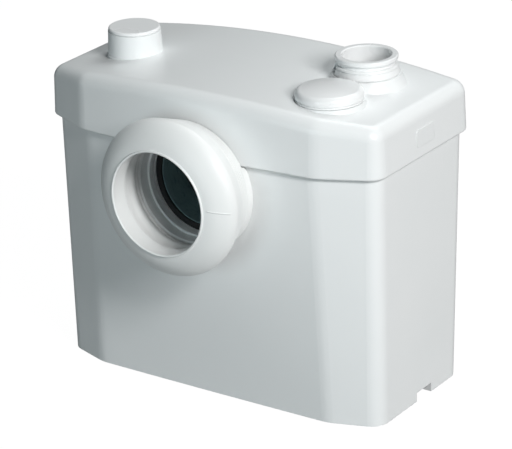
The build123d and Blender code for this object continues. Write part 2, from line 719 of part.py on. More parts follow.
def deck():
    """Tray that closes the tank and carries the motor, valve and switch."""
    body = prism(tank_outline(SHOULDER_Z, DECK_INSET), GASKET_TOP_Z, DECK_TOP_Z)
    body += rounded_tray(0, TRAY_UNDER_Z, DECK_TOP_Z)
    body -= rounded_tray(TRAY_WALL, TRAY_TOP_Z, DECK_TOP_Z + OVERRUN)
    body += rod(SPARE_R, TRAY_UNDER_Z, SPARE_TOP_Z, SPARE_X, SPARE_Y)
    body += rod(UPSTAND_R, TRAY_UNDER_Z, UPSTAND_TOP_Z, VENT_X, VENT_Y)
    low, high = TRAY_UNDER_Z - OVERRUN, SPARE_TOP_Z + OVERRUN
    body -= rod(SPARE_R - SPARE_WALL, low, high, SPARE_X, SPARE_Y)
    body -= rod(UPSTAND_R - UPSTAND_WALL, low, high, VENT_X, VENT_Y)
    body -= rod(POT_R + SNUG, low, TRAY_TOP_Z + OVERRUN, MOTOR_X, MOTOR_Y)
    body -= rod(RISER_R + SNUG, low, TRAY_TOP_Z + OVERRUN, PORT_X, PORT_Y)
    body -= rod(BELL_R - BELL_WALL, low, TRAY_TOP_Z + OVERRUN, BELL_X, BELL_Y)
    for x, y in screw_places():
        body -= rod(DECK_SCREW_R + SLIP, GASKET_TOP_Z - OVERRUN, DECK_TOP_Z + OVERRUN, x, y)
    return body


def screw(radius, head_radius, low_z, seat_z, head, x, y):
    """Round-headed screw that points down, with a cross slot in its head."""
    body = rod(radius, low_z, seat_z, x, y) + rod(head_radius, seat_z, seat_z + head, x, y)
    slot = radius / 2
    top = seat_z + head
    floor = seat_z + head / 2
    body -= block(x - head_radius / 2, x + head_radius / 2, y - slot / 2, y + slot / 2, floor, top + OVERRUN)
    half = head_radius / 2
    return body - block(x - slot / 2, x + slot / 2, y - half, y + half, floor, top + OVERRUN)


def deck_screws():
    """Screws that clamp the tray and its gasket to the ledge."""
    return [
        screw(DECK_SCREW_R, DECK_SCREW_HEAD_R, LEDGE_Z, DECK_TOP_Z, DECK_SCREW_HEAD, x, y)
        for x, y in screw_places()
    ]


def inlet_gaiter():
    """White rubber collar: a lip, a flared face and a ribbed band that hugs the case."""
    lip_back = LIP_FRONT - LIP_DEPTH
    lip_outer = LIP_R + LIP_WALL
    face_front = LIP_FRONT - LIP_PROUD
    rise = COLLAR_R - lip_outer
    fall = (COLLAR_R - COLLAR_BACK_R) / (COLLAR_SHOULDER - COLLAR_CONTACT)
    face_curve = Spline(
        (lip_outer, face_front),
        (lip_outer + rise * FACE_RISE_SHARE, face_front - (face_front - COLLAR_SHOULDER) * FACE_FALL_SHARE),
        (COLLAR_R, COLLAR_SHOULDER),
        tangents=[(1, -FACE_LEAN_SHARE), (-fall, -1)],
    )
    band = [(COLLAR_R, COLLAR_SHOULDER)]
    for number in range(COLLAR_GROOVES):
        start = COLLAR_CONTACT + COLLAR_GROOVE_PITCH * (COLLAR_GROOVES - number)
        for shift, sink in ((COLLAR_GROOVE, 0), (0, COLLAR_GROOVE), (-COLLAR_GROOVE, 0)):
            height = start + shift
            band.append((COLLAR_BACK_R + fall * (height - COLLAR_CONTACT) - sink, height))
    band.append((COLLAR_BACK_R, COLLAR_CONTACT))
    band.append((COLLAR_BACK_R, COLLAR_BACK))
    grip = SPIGOT_R + SNUG
    seat = -SPIGOT_FRONT_Y
    throat = (COLLAR_THROAT_R, seat + COLLAR_THROAT)
    inside = [(grip, COLLAR_BACK), (grip, seat), (SPIGOT_BORE_R + INLET_WALL, seat), throat]
    recess_front = lip_back - LIP_WALL
    inner_curve = Spline(
        throat,
        (COLLAR_RIDGE_R, seat + COLLAR_RIDGE),
        (COLLAR_RECESS_R, recess_front - COLLAR_RECESS),
        tangents=[(-1, 1), (0, 1)],
    )
    rim = [
        (COLLAR_RECESS_R, recess_front - COLLAR_RECESS),
        (COLLAR_RECESS_R, recess_front),
        (LIP_R, lip_back),
        (LIP_R, LIP_FRONT - LIP_WALL / 3),
        (LIP_R + LIP_WALL / 3, LIP_FRONT),
        (LIP_R + LIP_WALL * 2 / 3, LIP_FRONT),
        (lip_outer, face_front),
    ]
    outline = [face_curve, Polyline(*band), Polyline(*inside), inner_curve, Polyline(*rim)]
    outline.append(Line(band[-1], inside[0]))
    profile = Plane.XZ * make_face(outline)
    body = Pos(0, 0, INLET_Z) * Rot(QUARTER_TURN, 0, 0) * revolve(profile, Axis.Z)
    low = LID_RIM_Z - SLIP
    lid_room = ruled(lid_outline(-SLIP), low, lid_outline(-SLIP), CROWN_TOP_Z)
    high = SHOULDER_Z
    tank_room = ruled(tank_outline(0, -SNUG), 0, tank_outline(high, -SNUG), high)
    return body - lid_room - tank_room


def inlet_seal_ring():
    """Black rubber ring in the inner end of the inlet."""
    back = INLET_INNER_Y - SPOUT_FLANGE
    ring = rod_y(INLET_R - SNUG, back - SEAL_RING_LENGTH, back, 0, INLET_Z)
    return ring - rod_y(SEAL_RING_R, -TANK_REACH - OVERRUN, INLET_INNER_Y + OVERRUN, 0, INLET_Z)


def inlet_spout():
    """Short spout that leads the waste from the inlet into the basket."""
    outer = SPOUT_R + SPOUT_WALL
    end = INLET_INNER_Y + SPOUT_LENGTH
    body = rod_y(INLET_R - SNUG, INLET_INNER_Y - SPOUT_FLANGE, INLET_INNER_Y, 0, INLET_Z)
    body += rod_y(outer, INLET_INNER_Y, end, 0, INLET_Z)
    lip = rod_y(outer, INLET_INNER_Y, INLET_INNER_Y + SPOUT_LIP_LENGTH, 0, INLET_Z)
    body += lip & block(-outer, outer, INLET_INNER_Y, TRAY_BACK_Y, 0, INLET_Z)
    return body - rod_y(SPOUT_R, -TANK_REACH, TRAY_BACK_Y, 0, INLET_Z)


def motor_housing():
    """Sealed pot that hangs through the tray and holds the stator and lower bearing."""
    inner = POT_R - POT_WALL
    body = turned(
        [
            (0, BOSS_UNDER_Z),
            (BOSS_R, BOSS_UNDER_Z),
            (BOSS_R, POT_UNDER_Z),
            (POT_R, POT_UNDER_Z),
            (POT_R, TRAY_TOP_Z),
            (POT_FLANGE_R, TRAY_TOP_Z),
            (POT_FLANGE_R, POT_TOP_Z),
            (inner, POT_TOP_Z),
            (inner, POT_LEDGE_Z),
            (inner - POT_LEDGE, POT_LEDGE_Z),
            (inner - POT_LEDGE, POT_UNDER_Z + POT_FLOOR),
            (0, POT_UNDER_Z + POT_FLOOR),
        ],
        MOTOR_X,
        MOTOR_Y,
    )
    seal_top = LOWER_BEARING_Z - POT_WALL
    body -= rod(SEAL_POCKET_R, BOSS_UNDER_Z - OVERRUN, seal_top, MOTOR_X, MOTOR_Y)
    body -= rod(SHAFT_HOLE_R, BOSS_UNDER_Z, POT_TOP_Z, MOTOR_X, MOTOR_Y)
    return body - rod(BEARING_R, LOWER_BEARING_Z, POT_TOP_Z, MOTOR_X, MOTOR_Y)


def motor_end_cap():
    """Cover of the motor with the pocket of the upper bearing."""
    side = POT_R
    body = turned(
        [
            (0, UPPER_BEARING_Z),
            (BOSS_R, UPPER_BEARING_Z),
            (BOSS_R, CAP_TOP_Z - 2 * CAP_WALL),
            (side - CAP_WALL, CAP_TOP_Z - 2 * CAP_WALL),
            (side - CAP_WALL, POT_TOP_Z),
            (POT_FLANGE_R, POT_TOP_Z),
            (POT_FLANGE_R, POT_TOP_Z + CAP_WALL),
            (side, POT_TOP_Z + CAP_WALL),
            (side, CAP_TOP_Z - CAP_EDGE_R),
            (side - CAP_EDGE_R, CAP_TOP_Z),
            (0, CAP_TOP_Z),
        ],
        MOTOR_X,
        MOTOR_Y,
    )
    low = UPPER_BEARING_Z - OVERRUN
    return body - rod(BEARING_R, low, UPPER_BEARING_Z + BEARING_HEIGHT, MOTOR_X, MOTOR_Y)


def stator_core():
    """Laminated ring with its winding slots."""
    bore = ROTOR_R + AIR_GAP
    outer = POT_R - POT_WALL - SNUG
    body = tube(outer, bore, POT_LEDGE_Z, STACK_TOP_Z)
    slot = block(bore + AIR_GAP, bore + SLOT_DEPTH, -SLOT_WIDTH / 2, SLOT_WIDTH / 2, POT_LEDGE_Z - OVERRUN,
                 STACK_TOP_Z + OVERRUN)
    for number in range(SLOTS):
        body -= Rot(0, 0, number * FULL_TURN / SLOTS) * slot
    return Pos(MOTOR_X, MOTOR_Y, 0) * body


def stator_windings():
    """Copper winding heads above and below the core."""
    return [
        tube(WINDING_OUTER_R, WINDING_INNER_R, low, low + WINDING_HEIGHT, MOTOR_X, MOTOR_Y)
        for low in (POT_LEDGE_Z - WINDING_HEIGHT, STACK_TOP_Z)
    ]


def bearing(low_z):
    """Ball bearing with a groove between its rings on both faces."""
    body = tube(BEARING_R - RUN, SHAFT_R + RUN, low_z, low_z + BEARING_HEIGHT, MOTOR_X, MOTOR_Y)
    outer, inner = BEARING_R - BEARING_RACE, SHAFT_R + BEARING_RACE
    for low in (low_z - OVERRUN, low_z + BEARING_HEIGHT - BEARING_GROOVE):
        body -= tube(outer, inner, low, low + BEARING_GROOVE + OVERRUN - (low < low_z) * RUN, MOTOR_X, MOTOR_Y)
    return body


def shaft_seal():
    """Lip seal that keeps water out of the motor."""
    return tube(
        SEAL_POCKET_R - SNUG, SHAFT_R + SLIP, BOSS_UNDER_Z, LOWER_BEARING_Z - POT_WALL, MOTOR_X, MOTOR_Y
    )


def motor_shaft():
    """Long steel shaft from the upper bearing down to the impeller."""
    return rod(SHAFT_R, SHAFT_LOW_Z, SHAFT_TOP_Z, MOTOR_X, MOTOR_Y)


def rotor_core():
    """Rotor of the motor, pressed on the shaft."""
    return tube(ROTOR_R, SHAFT_R + RUN, POT_LEDGE_Z, STACK_TOP_Z, MOTOR_X, MOTOR_Y)


def grinder_blade():
    """Two-armed blade with turned-up teeth, on its hub."""
    half = BLADE_WIDTH / 2
    top = BLADE_Z + BLADE_THICKNESS
    body = block(-BLADE_R, BLADE_R, -half, half, BLADE_Z, top)
    for hand in (-1, 1):
        inner, outer = hand * (BLADE_R - BLADE_THICKNESS), hand * BLADE_R
        body += block(min(inner, outer), max(inner, outer), -half, half, top, top + BLADE_TOOTH)
    body += rod(HUB_R, BLADE_Z, BLADE_Z + HUB_HEIGHT)
    body -= rod(SHAFT_R + RUN, BLADE_Z - OVERRUN, BLADE_Z + HUB_HEIGHT + OVERRUN)
    return Pos(MOTOR_X, MOTOR_Y, 0) * body


def impeller():
    """Open impeller: a disc, straight vanes below it and a hub."""
    top = VOLUTE_CEILING_Z - IMPELLER_GAP
    low = PLATE_TOP_Z + IMPELLER_GAP
    body = rod(IMPELLER_R, top - IMPELLER_DISC, top)
    body += rod(IMPELLER_HUB_R, low, top)
    half = VANE_THICKNESS / 2
    vane = block(0, IMPELLER_R - half, -half, half, low, top)
    for number in range(VANES):
        body += Rot(0, 0, number * FULL_TURN / VANES) * vane
    body -= rod(SHAFT_R + RUN, low - OVERRUN, top + OVERRUN)
    return Pos(MOTOR_X, MOTOR_Y, 0) * body


def impeller_nut():
    """Hexagon nut that holds the impeller on the shaft."""
    low = PLATE_TOP_Z + IMPELLER_GAP - NUT_HEIGHT
    body = prism(RegularPolygon(NUT_R, 6).faces()[0], low, low + NUT_HEIGHT)
    body -= rod(SHAFT_R + RUN, low - OVERRUN, low + NUT_HEIGHT + OVERRUN)
    return Pos(MOTOR_X, MOTOR_Y, 0) * body


def run_capacitor():
    """Capacitor can with a crimped shoulder at one end."""
    z = TRAY_TOP_Z + CLIP_THICKNESS + CAPACITOR_R + SNUG
    left, right = CAPACITOR_X - CAPACITOR_LENGTH / 2, CAPACITOR_X + CAPACITOR_LENGTH / 2
    body = rod_x(CAPACITOR_R, left + CAPACITOR_CRIMP, right, CAPACITOR_Y, z)
    return body + rod_x(CAPACITOR_CRIMP_R, left, left + CAPACITOR_CRIMP, CAPACITOR_Y, z)


def capacitor_clip():
    """Spring clip round the capacitor, with a flat foot on the tray."""
    inner = CAPACITOR_R + SNUG
    outer = inner + CLIP_THICKNESS
    z = TRAY_TOP_Z + outer
    left, right = CAPACITOR_X - CLIP_WIDTH / 2, CAPACITOR_X + CLIP_WIDTH / 2
    body = rod_x(outer, left, right, CAPACITOR_Y, z)
    gap = CAPACITOR_R / 2
    body -= block(left - OVERRUN, right + OVERRUN, CAPACITOR_Y - gap, CAPACITOR_Y + gap, z, z + outer + OVERRUN)
    front, back = CAPACITOR_Y - CLIP_FOOT / 2 + outer / 2, CAPACITOR_Y + CLIP_FOOT / 2
    body += block(left, right, front, back, TRAY_TOP_Z, TRAY_TOP_Z + CLIP_THICKNESS)
    return body - rod_x(inner, left - OVERRUN, right + OVERRUN, CAPACITOR_Y, z)


def terminal_block():
    """Terminal block with its wire ways and screw wells."""
    left = TERMINAL_X - TERMINAL_LENGTH / 2
    front, back = TERMINAL_Y - TERMINAL_DEPTH / 2, TERMINAL_Y + TERMINAL_DEPTH / 2
    top = TRAY_TOP_Z + TERMINAL_HEIGHT
    body = block(left, left + TERMINAL_LENGTH, front, back, TRAY_TOP_Z, top)
    pitch = TERMINAL_LENGTH / TERMINAL_WAYS
    middle_z = TRAY_TOP_Z + TERMINAL_HEIGHT / 3
    for number in range(TERMINAL_WAYS):
        x = left + (number + 0.5) * pitch
        body -= rod_y(TERMINAL_HOLE_R, front - OVERRUN, back + OVERRUN, x, middle_z)
        body -= rod(TERMINAL_HOLE_R, middle_z, top + OVERRUN, x, TERMINAL_Y)
    return body


def back_face_y(height):
    """Outer face of the lid's leaning back at a height."""
    return LID_DEPTH / 2 - LID_DRAFT * (height - LID_RIM_Z) / (LID_END_Z - LID_RIM_Z)


def gland_seats():
    """Flat seats of the cord gland outside and inside the lid's back."""
    outside = back_face_y(GLAND_Z + GLAND_FLANGE_R)
    inside = back_face_y(GLAND_Z - GLAND_NUT_R) - LID_WALL
    return outside, inside


def cord_gland():
    """Gland in the lid's back: flange and nose outside, neck through the wall."""
    outside, inside = gland_seats()
    body = rod_y(GLAND_FLANGE_R, outside, outside + GLAND_FLANGE, GLAND_X, GLAND_Z)
    body += rod_y(GLAND_NOSE_R, outside, outside + GLAND_NOSE, GLAND_X, GLAND_Z)
    body += rod_y(GLAND_NECK_R, inside - GLAND_NUT, outside, GLAND_X, GLAND_Z)
    return body - rod_y(GLAND_BORE_R, inside - GLAND_NUT - OVERRUN, LID_DEPTH, GLAND_X, GLAND_Z)


def gland_nut():
    """Hexagon nut that clamps the gland from inside the lid."""
    outside, inside = gland_seats()
    body = prism(RegularPolygon(GLAND_NUT_R, 6).faces()[0], 0, GLAND_NUT)
    body -= rod(GLAND_NECK_R + RUN, -OVERRUN, GLAND_NUT + OVERRUN)
    return Pos(GLAND_X, inside, GLAND_Z) * Rot(QUARTER_TURN, 0, 0) * body


def basket_box(inset, low_z, high_z):
    """Upright rounded box on the basket's outline."""
    middle = Pos((BASKET_LEFT_X + BASKET_RIGHT_X) / 2, (BASKET_FRONT_Y + BASKET_BACK_Y) / 2)
    width = BASKET_RIGHT_X - BASKET_LEFT_X - 2 * inset
    depth = BASKET_BACK_Y - BASKET_FRONT_Y - 2 * inset
    face = (middle * RectangleRounded(width, depth, BASKET_CORNER_R - inset)).faces()[0]
    return prism(face, low_z, high_z)


def basket_slots():
    """Bars that cut the drain slots of the basket's long and short walls."""
    low = BASKET_FLOOR_Z + BASKET_FLOOR + BASKET_SLOT_MARGIN
    high = BASKET_TOP_Z - BASKET_SLOT_MARGIN
    half = BASKET_SLOT_WIDTH / 2
    margin = BASKET_CORNER_R + BASKET_SLOT_WIDTH
    cuts = []
    for low_x, high_x, crosswise in (
        (BASKET_LEFT_X, BASKET_RIGHT_X, False),
        (BASKET_FRONT_Y, BASKET_BACK_Y, True),
    ):
        count = int((high_x - low_x - 2 * margin) / BASKET_SLOT_PITCH) + 1
        start = (low_x + high_x - (count - 1) * BASKET_SLOT_PITCH) / 2
        for number in range(count):
            place = start + number * BASKET_SLOT_PITCH
            if crosswise:
                left, right = BASKET_LEFT_X - OVERRUN, BASKET_RIGHT_X + OVERRUN
                cuts.append(block(left, right, place - half, place + half, low, high))
            else:
                front, back = BASKET_FRONT_Y - OVERRUN, BASKET_BACK_Y + OVERRUN
                cuts.append(block(place - half, place + half, front, back, low, high))
    return cuts


def grinder_basket():
    """Slotted basket that holds the waste round the blade."""
    body = basket_box(0, BASKET_FLOOR_Z, BASKET_TOP_Z)
    body += basket_box(-BASKET_RIM, BASKET_TOP_Z - BASKET_RIM_HEIGHT, BASKET_TOP_Z)
    body -= basket_box(BASKET_WALL, BASKET_FLOOR_Z + BASKET_FLOOR, BASKET_TOP_Z + OVERRUN)
    for cut in basket_slots():
        body -= cut
    body -= rod(SHAFT_HOLE_R, BASKET_FLOOR_Z - OVERRUN, BASKET_TOP_Z, MOTOR_X, MOTOR_Y)
    x = BASKET_LEFT_X + BASKET_LEG_INSET
    for y in (BASKET_FRONT_Y + BASKET_LEG_INSET, BASKET_BACK_Y - BASKET_LEG_INSET):
        body += rod(BASKET_LEG_R, FLOOR_TOP_Z, BASKET_FLOOR_Z + BASKET_FLOOR, x, y)
    return body


def pump_screw_places():
    """Places of the lugs that hold the suction plate under the volute."""
    ring = VOLUTE_R + VOLUTE_WALL + PUMP_SCREW_LUG_R / 2
    return [
        Vector(ring, 0).rotate(Axis.Z, number * FULL_TURN / PUMP_SCREWS)
        for number in range(PUMP_SCREWS)
    ]


def volute_casing():
    """Pump casing with its side outlet and screw lugs."""
    outer = VOLUTE_R + VOLUTE_WALL
    body = rod(outer, PLATE_TOP_Z, VOLUTE_TOP_Z)
    body += rod_x(OUTLET_OUTER_R, 0, OUTLET_REACH, OUTLET_OFFSET, OUTLET_Z)
    for place in pump_screw_places():
        body += rod(PUMP_SCREW_LUG_R, PLATE_TOP_Z, VOLUTE_CEILING_Z, place.X, place.Y)
    body -= rod(VOLUTE_R, PLATE_TOP_Z - OVERRUN, VOLUTE_CEILING_Z)
    body -= rod_x(OUTLET_R, 0, OUTLET_REACH + OVERRUN, OUTLET_OFFSET, OUTLET_Z)
    body -= rod(SHAFT_HOLE_R, PLATE_TOP_Z, VOLUTE_TOP_Z + OVERRUN)
    for place in pump_screw_places():
        body -= rod(PUMP_SCREW_R + RUN, PLATE_TOP_Z - OVERRUN, VOLUTE_CEILING_Z - OVERRUN, place.X, place.Y)
    return Pos(MOTOR_X, MOTOR_Y, 0) * body


def suction_plate():
    """Plate that closes the pump from below, with its inlet hole and three feet."""
    body = rod(VOLUTE_R + VOLUTE_WALL, PLATE_LOW_Z, PLATE_TOP_Z)
    for place in pump_screw_places():
        body += rod(PUMP_SCREW_LUG_R, PLATE_LOW_Z, PLATE_TOP_Z, place.X, place.Y)
    for number in range(3):
        spot = Vector(VOLUTE_R - PLATE_FOOT_R, 0).rotate(Axis.Z, number * FULL_TURN / 3)
        body += rod(PLATE_FOOT_R, FLOOR_TOP_Z, PLATE_LOW_Z, spot.X, spot.Y)
    body -= rod(SUCTION_R, PLATE_LOW_Z - OVERRUN, PLATE_TOP_Z + OVERRUN)
    for place in pump_screw_places():
        body -= rod(PUMP_SCREW_R + SLIP, PLATE_LOW_Z - OVERRUN, PLATE_TOP_Z + OVERRUN, place.X, place.Y)
    return Pos(MOTOR_X, MOTOR_Y, 0) * body


def pump_screws():
    """Screws from below through the suction plate into the volute."""
    bodies = []
    for place in pump_screw_places():
        x, y = MOTOR_X + place.X, MOTOR_Y + place.Y
        shank = rod(PUMP_SCREW_R, PLATE_LOW_Z, PLATE_LOW_Z + PUMP_SCREW_LENGTH, x, y)
        bodies.append(shank + rod(PUMP_SCREW_HEAD_R, PLATE_LOW_Z - PUMP_SCREW_HEAD, PLATE_LOW_Z, x, y))
    return bodies


def riser_pipe():
    """Upright discharge pipe with the side socket of the pump outlet."""
    socket_left = MOTOR_X + OUTLET_REACH - SOCKET_LENGTH
    low = OUTLET_Z - SOCKET_R
    body = rod(RISER_R, low, RISER_TOP_Z, PORT_X, PORT_Y)
    body += rod_x(SOCKET_R, socket_left, PORT_X, PORT_Y, OUTLET_Z)
    body -= rod(RISER_R - RISER_WALL, low + RISER_FOOT, RISER_TOP_Z + OVERRUN, PORT_X, PORT_Y)
    body -= rod_x(OUTLET_R, socket_left, PORT_X, PORT_Y, OUTLET_Z)
    socket_end = MOTOR_X + OUTLET_REACH
    return body - rod_x(OUTLET_OUTER_R + SNUG, socket_left - OVERRUN, socket_end, PORT_Y, OUTLET_Z)


def riser_grommet():
    """Rubber grommet that seals the riser in the tray."""
    outer = rod(GROMMET_R, TRAY_TOP_Z, GROMMET_TOP_Z, PORT_X, PORT_Y)
    return outer - rod(RISER_R + SNUG, TRAY_TOP_Z - OVERRUN, GROMMET_TOP_Z + OVERRUN, PORT_X, PORT_Y)


def valve_body():
    """Housing of the non-return valve on top of the riser."""
    inner = VALVE_R - VALVE_WALL
    body = turned(
        [
            (RISER_R + SNUG, GROMMET_TOP_Z),
            (VALVE_SOCKET_R, GROMMET_TOP_Z),
            (VALVE_SOCKET_R, RISER_TOP_Z),
            (VALVE_R, RISER_TOP_Z),
            (VALVE_R, VALVE_TOP_Z),
            (inner, VALVE_TOP_Z),
            (inner, SEAT_Z),
            (SEAT_R, SEAT_Z),
            (SEAT_R, RISER_TOP_Z),
            (RISER_R + SNUG, RISER_TOP_Z),
        ],
        PORT_X,
        PORT_Y,
    )
    return body - rod_x(PIN_R + RUN, PORT_X - PIN_HALF_LENGTH, PORT_X + PIN_HALF_LENGTH, PIN_Y, PIN_Z)


def valve_seat_seal():
    """Rubber ring on the seat of the valve."""
    return tube(SEAT_R + SEAT_SEAL_WALL, SEAT_R, SEAT_Z, FLAP_Z, PORT_X, PORT_Y)


def flap_pin():
    """Steel hinge pin of the valve flap."""
    return rod_x(PIN_R, PORT_X - PIN_HALF_LENGTH, PORT_X + PIN_HALF_LENGTH, PIN_Y, PIN_Z)


def valve_flap():
    """Flap that closes on the seat, with its arm and hinge knuckle."""
    middle_y = PORT_Y - FLAP_SET_BACK
    top = FLAP_Z + FLAP_THICKNESS
    half = FLAP_KNUCKLE_LENGTH / 2
    body = rod(FLAP_R, FLAP_Z, top, PORT_X, middle_y)
    body += rod_x(FLAP_KNUCKLE_R, PORT_X - half, PORT_X + half, PIN_Y, PIN_Z)
    body += block(PORT_X - half, PORT_X + half, middle_y, PIN_Y, FLAP_Z + FLAP_THICKNESS / 2, PIN_Z)
    return body - rod_x(PIN_R + RUN, PORT_X - FLAP_R, PORT_X + FLAP_R, PIN_Y, PIN_Z)


def discharge_sleeve():
    """White sleeve of the open top port, with its flange."""
    neck = SLEEVE_OUTER_R
    flange_low = PORT_TOP_Z - PORT_FLANGE
    soft = PORT_FLANGE / 4
    return turned(
        [
            (SLEEVE_R, SLEEVE_LOW_Z),
            (neck, SLEEVE_LOW_Z),
            (neck, flange_low - PORT_FLANGE_CONE),
            (PORT_FLANGE_R, flange_low),
            (PORT_FLANGE_R, PORT_TOP_Z - soft),
            (PORT_FLANGE_R - soft, PORT_TOP_Z),
            (SLEEVE_R + soft, PORT_TOP_Z),
            (SLEEVE_R, PORT_TOP_Z - soft),
        ],
        PORT_X,
        PORT_Y,
    )


def clamp_band():
    """Clamp band round the sleeve, with seam lines and an open slit."""
    inner = SLEEVE_OUTER_R + SNUG
    top = PORT_PAD_Z + BAND_HEIGHT
    soft = BAND_GROOVE_WIDTH
    points = [(inner, PORT_PAD_Z), (BAND_R - soft, PORT_PAD_Z), (BAND_R, PORT_PAD_Z + soft)]
    for share in BAND_SEAM_SHARES:
        z = PORT_PAD_Z + BAND_HEIGHT * share
        half = BAND_GROOVE_WIDTH / 2
        outer = BAND_R - BAND_TAPER * share
        points += [(outer, z - half), (outer - BAND_GROOVE, z - half), (outer - BAND_GROOVE, z + half)]
        points.append((outer, z + half))
    outer = BAND_R - BAND_TAPER
    points += [(outer, top - soft), (outer - soft, top), (inner, top)]
    body = turned(points)
    half = BAND_SLIT / 2
    body -= block(-half, half, 0, BAND_R + OVERRUN, PORT_PAD_Z - OVERRUN, top + OVERRUN)
    reach = half + BAND_SCREW_GRIP + SNUG
    body -= rod_x(BAND_SCREW_R + SNUG, -reach, reach, BAND_MIDDLE_R, BAND_SCREW_Z)
    return Pos(PORT_X, PORT_Y, 0) * Rot(0, 0, BAND_TURN) * body


def clamp_screw():
    """Headless screw that draws the two ends of the clamp band together."""
    reach = BAND_SLIT / 2 + BAND_SCREW_GRIP
    body = rod_x(BAND_SCREW_R, -reach, reach, BAND_MIDDLE_R, BAND_SCREW_Z)
    return Pos(PORT_X, PORT_Y, 0) * Rot(0, 0, BAND_TURN) * body


def blanking_cap():
    """Low domed disc over the spare inlet, with a hollow plug."""
    low = SPARE_PAD_Z + SLIP
    rim = BLANK_TOP_Z - BLANK_DOME
    edge = BLANK_EDGE_R
    shell = Line((0, low), (BLANK_R, low)), Line((BLANK_R, low), (BLANK_R, rim - edge))
    bend = JernArc((BLANK_R, rim - edge), (0, 1), edge, QUARTER_TURN)
    reach = BLANK_R - edge
    dome_r = (reach**2 + BLANK_DOME**2) / (2 * BLANK_DOME)
    half_drop = dome_r - (dome_r**2 - (reach / 2) ** 2) ** 0.5
    top = ThreePointArc(bend @ 1, (reach / 2, BLANK_TOP_Z - half_drop), (0, BLANK_TOP_Z))
    profile = Plane.XZ * make_face([*shell, bend, top, Line((0, BLANK_TOP_Z), (0, low))])
    body = revolve(profile, Axis.Z)
    body += rod(PLUG_R, PLUG_LOW_Z, low)
    body += rod(PLUG_END_R, PLUG_LOW_Z, PLUG_LOW_Z + PLUG_END)
    body -= rod(PLUG_R - BLANK_WALL, PLUG_LOW_Z - OVERRUN, rim - edge)
    line_z = low + BLANK_GROOVE_RISE
    body -= tube(BLANK_R + OVERRUN, BLANK_R - BLANK_GROOVE, line_z, line_z + BLANK_GROOVE)
    return Pos(SPARE_X, SPARE_Y, 0) * body


def blanking_seal():
    """Rubber ring on the plug of the blanking cap."""
    low = PLUG_LOW_Z + PLUG_END
    outer = SPARE_R - SPARE_WALL - SLIP
    return tube(outer, PLUG_R + SNUG, low, low + PLUG_SEAL_HEIGHT, SPARE_X, SPARE_Y)


def carbon_filter():
    """Charcoal filter disc in the vent chimney."""
    return rod(CHIMNEY_BORE_R - SNUG, FILTER_LOW_Z, FILTER_LOW_Z + FILTER_HEIGHT, VENT_X, VENT_Y)


def vent_cap():
    """Flat cap on the chimney, with a hollow plug below it."""
    low = CHIMNEY_TOP_Z
    soft = VENT_CAP_EDGE_R
    neck = VENT_CAP_R - VENT_CAP_GROOVE
    ledge = low + VENT_CAP_GROOVE
    side = (VENT_CAP_R, VENT_CAP_TOP_Z - soft)
    base = Polyline((0, low), (neck, low), (neck, ledge), (VENT_CAP_R, ledge), side)
    bend = JernArc((VENT_CAP_R, VENT_CAP_TOP_Z - soft), (0, 1), soft, QUARTER_TURN)
    top = Line(bend @ 1, (0, VENT_CAP_TOP_Z))
    profile = Plane.XZ * make_face([base, bend, top, Line((0, VENT_CAP_TOP_Z), (0, low))])
    body = revolve(profile, Axis.Z)
    plug_low = low - VENT_PLUG_LENGTH
    body += tube(VENT_PLUG_R, VENT_PLUG_R - VENT_PLUG_WALL, plug_low, low + RUN)
    return Pos(VENT_X, VENT_Y, 0) * body


def pressure_bell():
    """Dip tube that traps air, with a flange under the tray."""
    body = rod(BELL_R, BELL_LOW_Z, TRAY_UNDER_Z, BELL_X, BELL_Y)
    body += rod(BELL_FLANGE_R, TRAY_UNDER_Z - BELL_FLANGE, TRAY_UNDER_Z, BELL_X, BELL_Y)
    return body - rod(BELL_R - BELL_WALL, BELL_LOW_Z - OVERRUN, TRAY_UNDER_Z + OVERRUN, BELL_X, BELL_Y)


def diaphragm():
    """Rubber diaphragm over the bell."""
    return rod(DIAPHRAGM_R, TRAY_TOP_Z, COVER_LOW_Z, BELL_X, BELL_Y)


def diaphragm_cover():
    """Cover that clamps the diaphragm, guides the plunger and holds the switch."""
    inner = DIAPHRAGM_COVER_R - 2 * DIAPHRAGM_COVER_WALL
    roof = COVER_TOP_Z - DIAPHRAGM_COVER_WALL
    body = rod(DIAPHRAGM_COVER_R, TRAY_TOP_Z, COVER_TOP_Z, BELL_X, BELL_Y)
    arm_front = BELL_Y + LEVER_WIDTH / 2 + SLIP
    top = SWITCH_LOW_Z + SWITCH_HEIGHT
    left = BELL_X + PLUNGER_R + SLIP
    body += block(
        left, LEVER_PIN_X + LEVER_TAIL, arm_front, arm_front + BRACKET_THICKNESS, COVER_TOP_Z - SNUG, top
    )
    body -= rod(DIAPHRAGM_R + SNUG, TRAY_TOP_Z - OVERRUN, COVER_LOW_Z, BELL_X, BELL_Y)
    body -= rod(inner, COVER_LOW_Z - OVERRUN, roof, BELL_X, BELL_Y)
    body -= rod(PLUNGER_R + RUN, roof - OVERRUN, COVER_TOP_Z + OVERRUN, BELL_X, BELL_Y)
    pin_end = arm_front + BRACKET_THICKNESS
    body += rod_y(LEVER_PIN_R, BELL_Y - LEVER_WIDTH / 2, pin_end, LEVER_PIN_X, LEVER_PIN_Z)
    return body


def switch_plunger():
    """Plunger that the diaphragm pushes up against the lever."""
    foot_top = COVER_LOW_Z + PLUNGER_FOOT
    body = rod(PLUNGER_FOOT_R, COVER_LOW_Z, foot_top, BELL_X, BELL_Y)
    body += rod(PLUNGER_R, foot_top, PLUNGER_TOP_Z - PLUNGER_TIP, BELL_X, BELL_Y)
    return body + rod(PLUNGER_TIP_R, PLUNGER_TOP_Z - PLUNGER_TIP, PLUNGER_TOP_Z, BELL_X, BELL_Y)


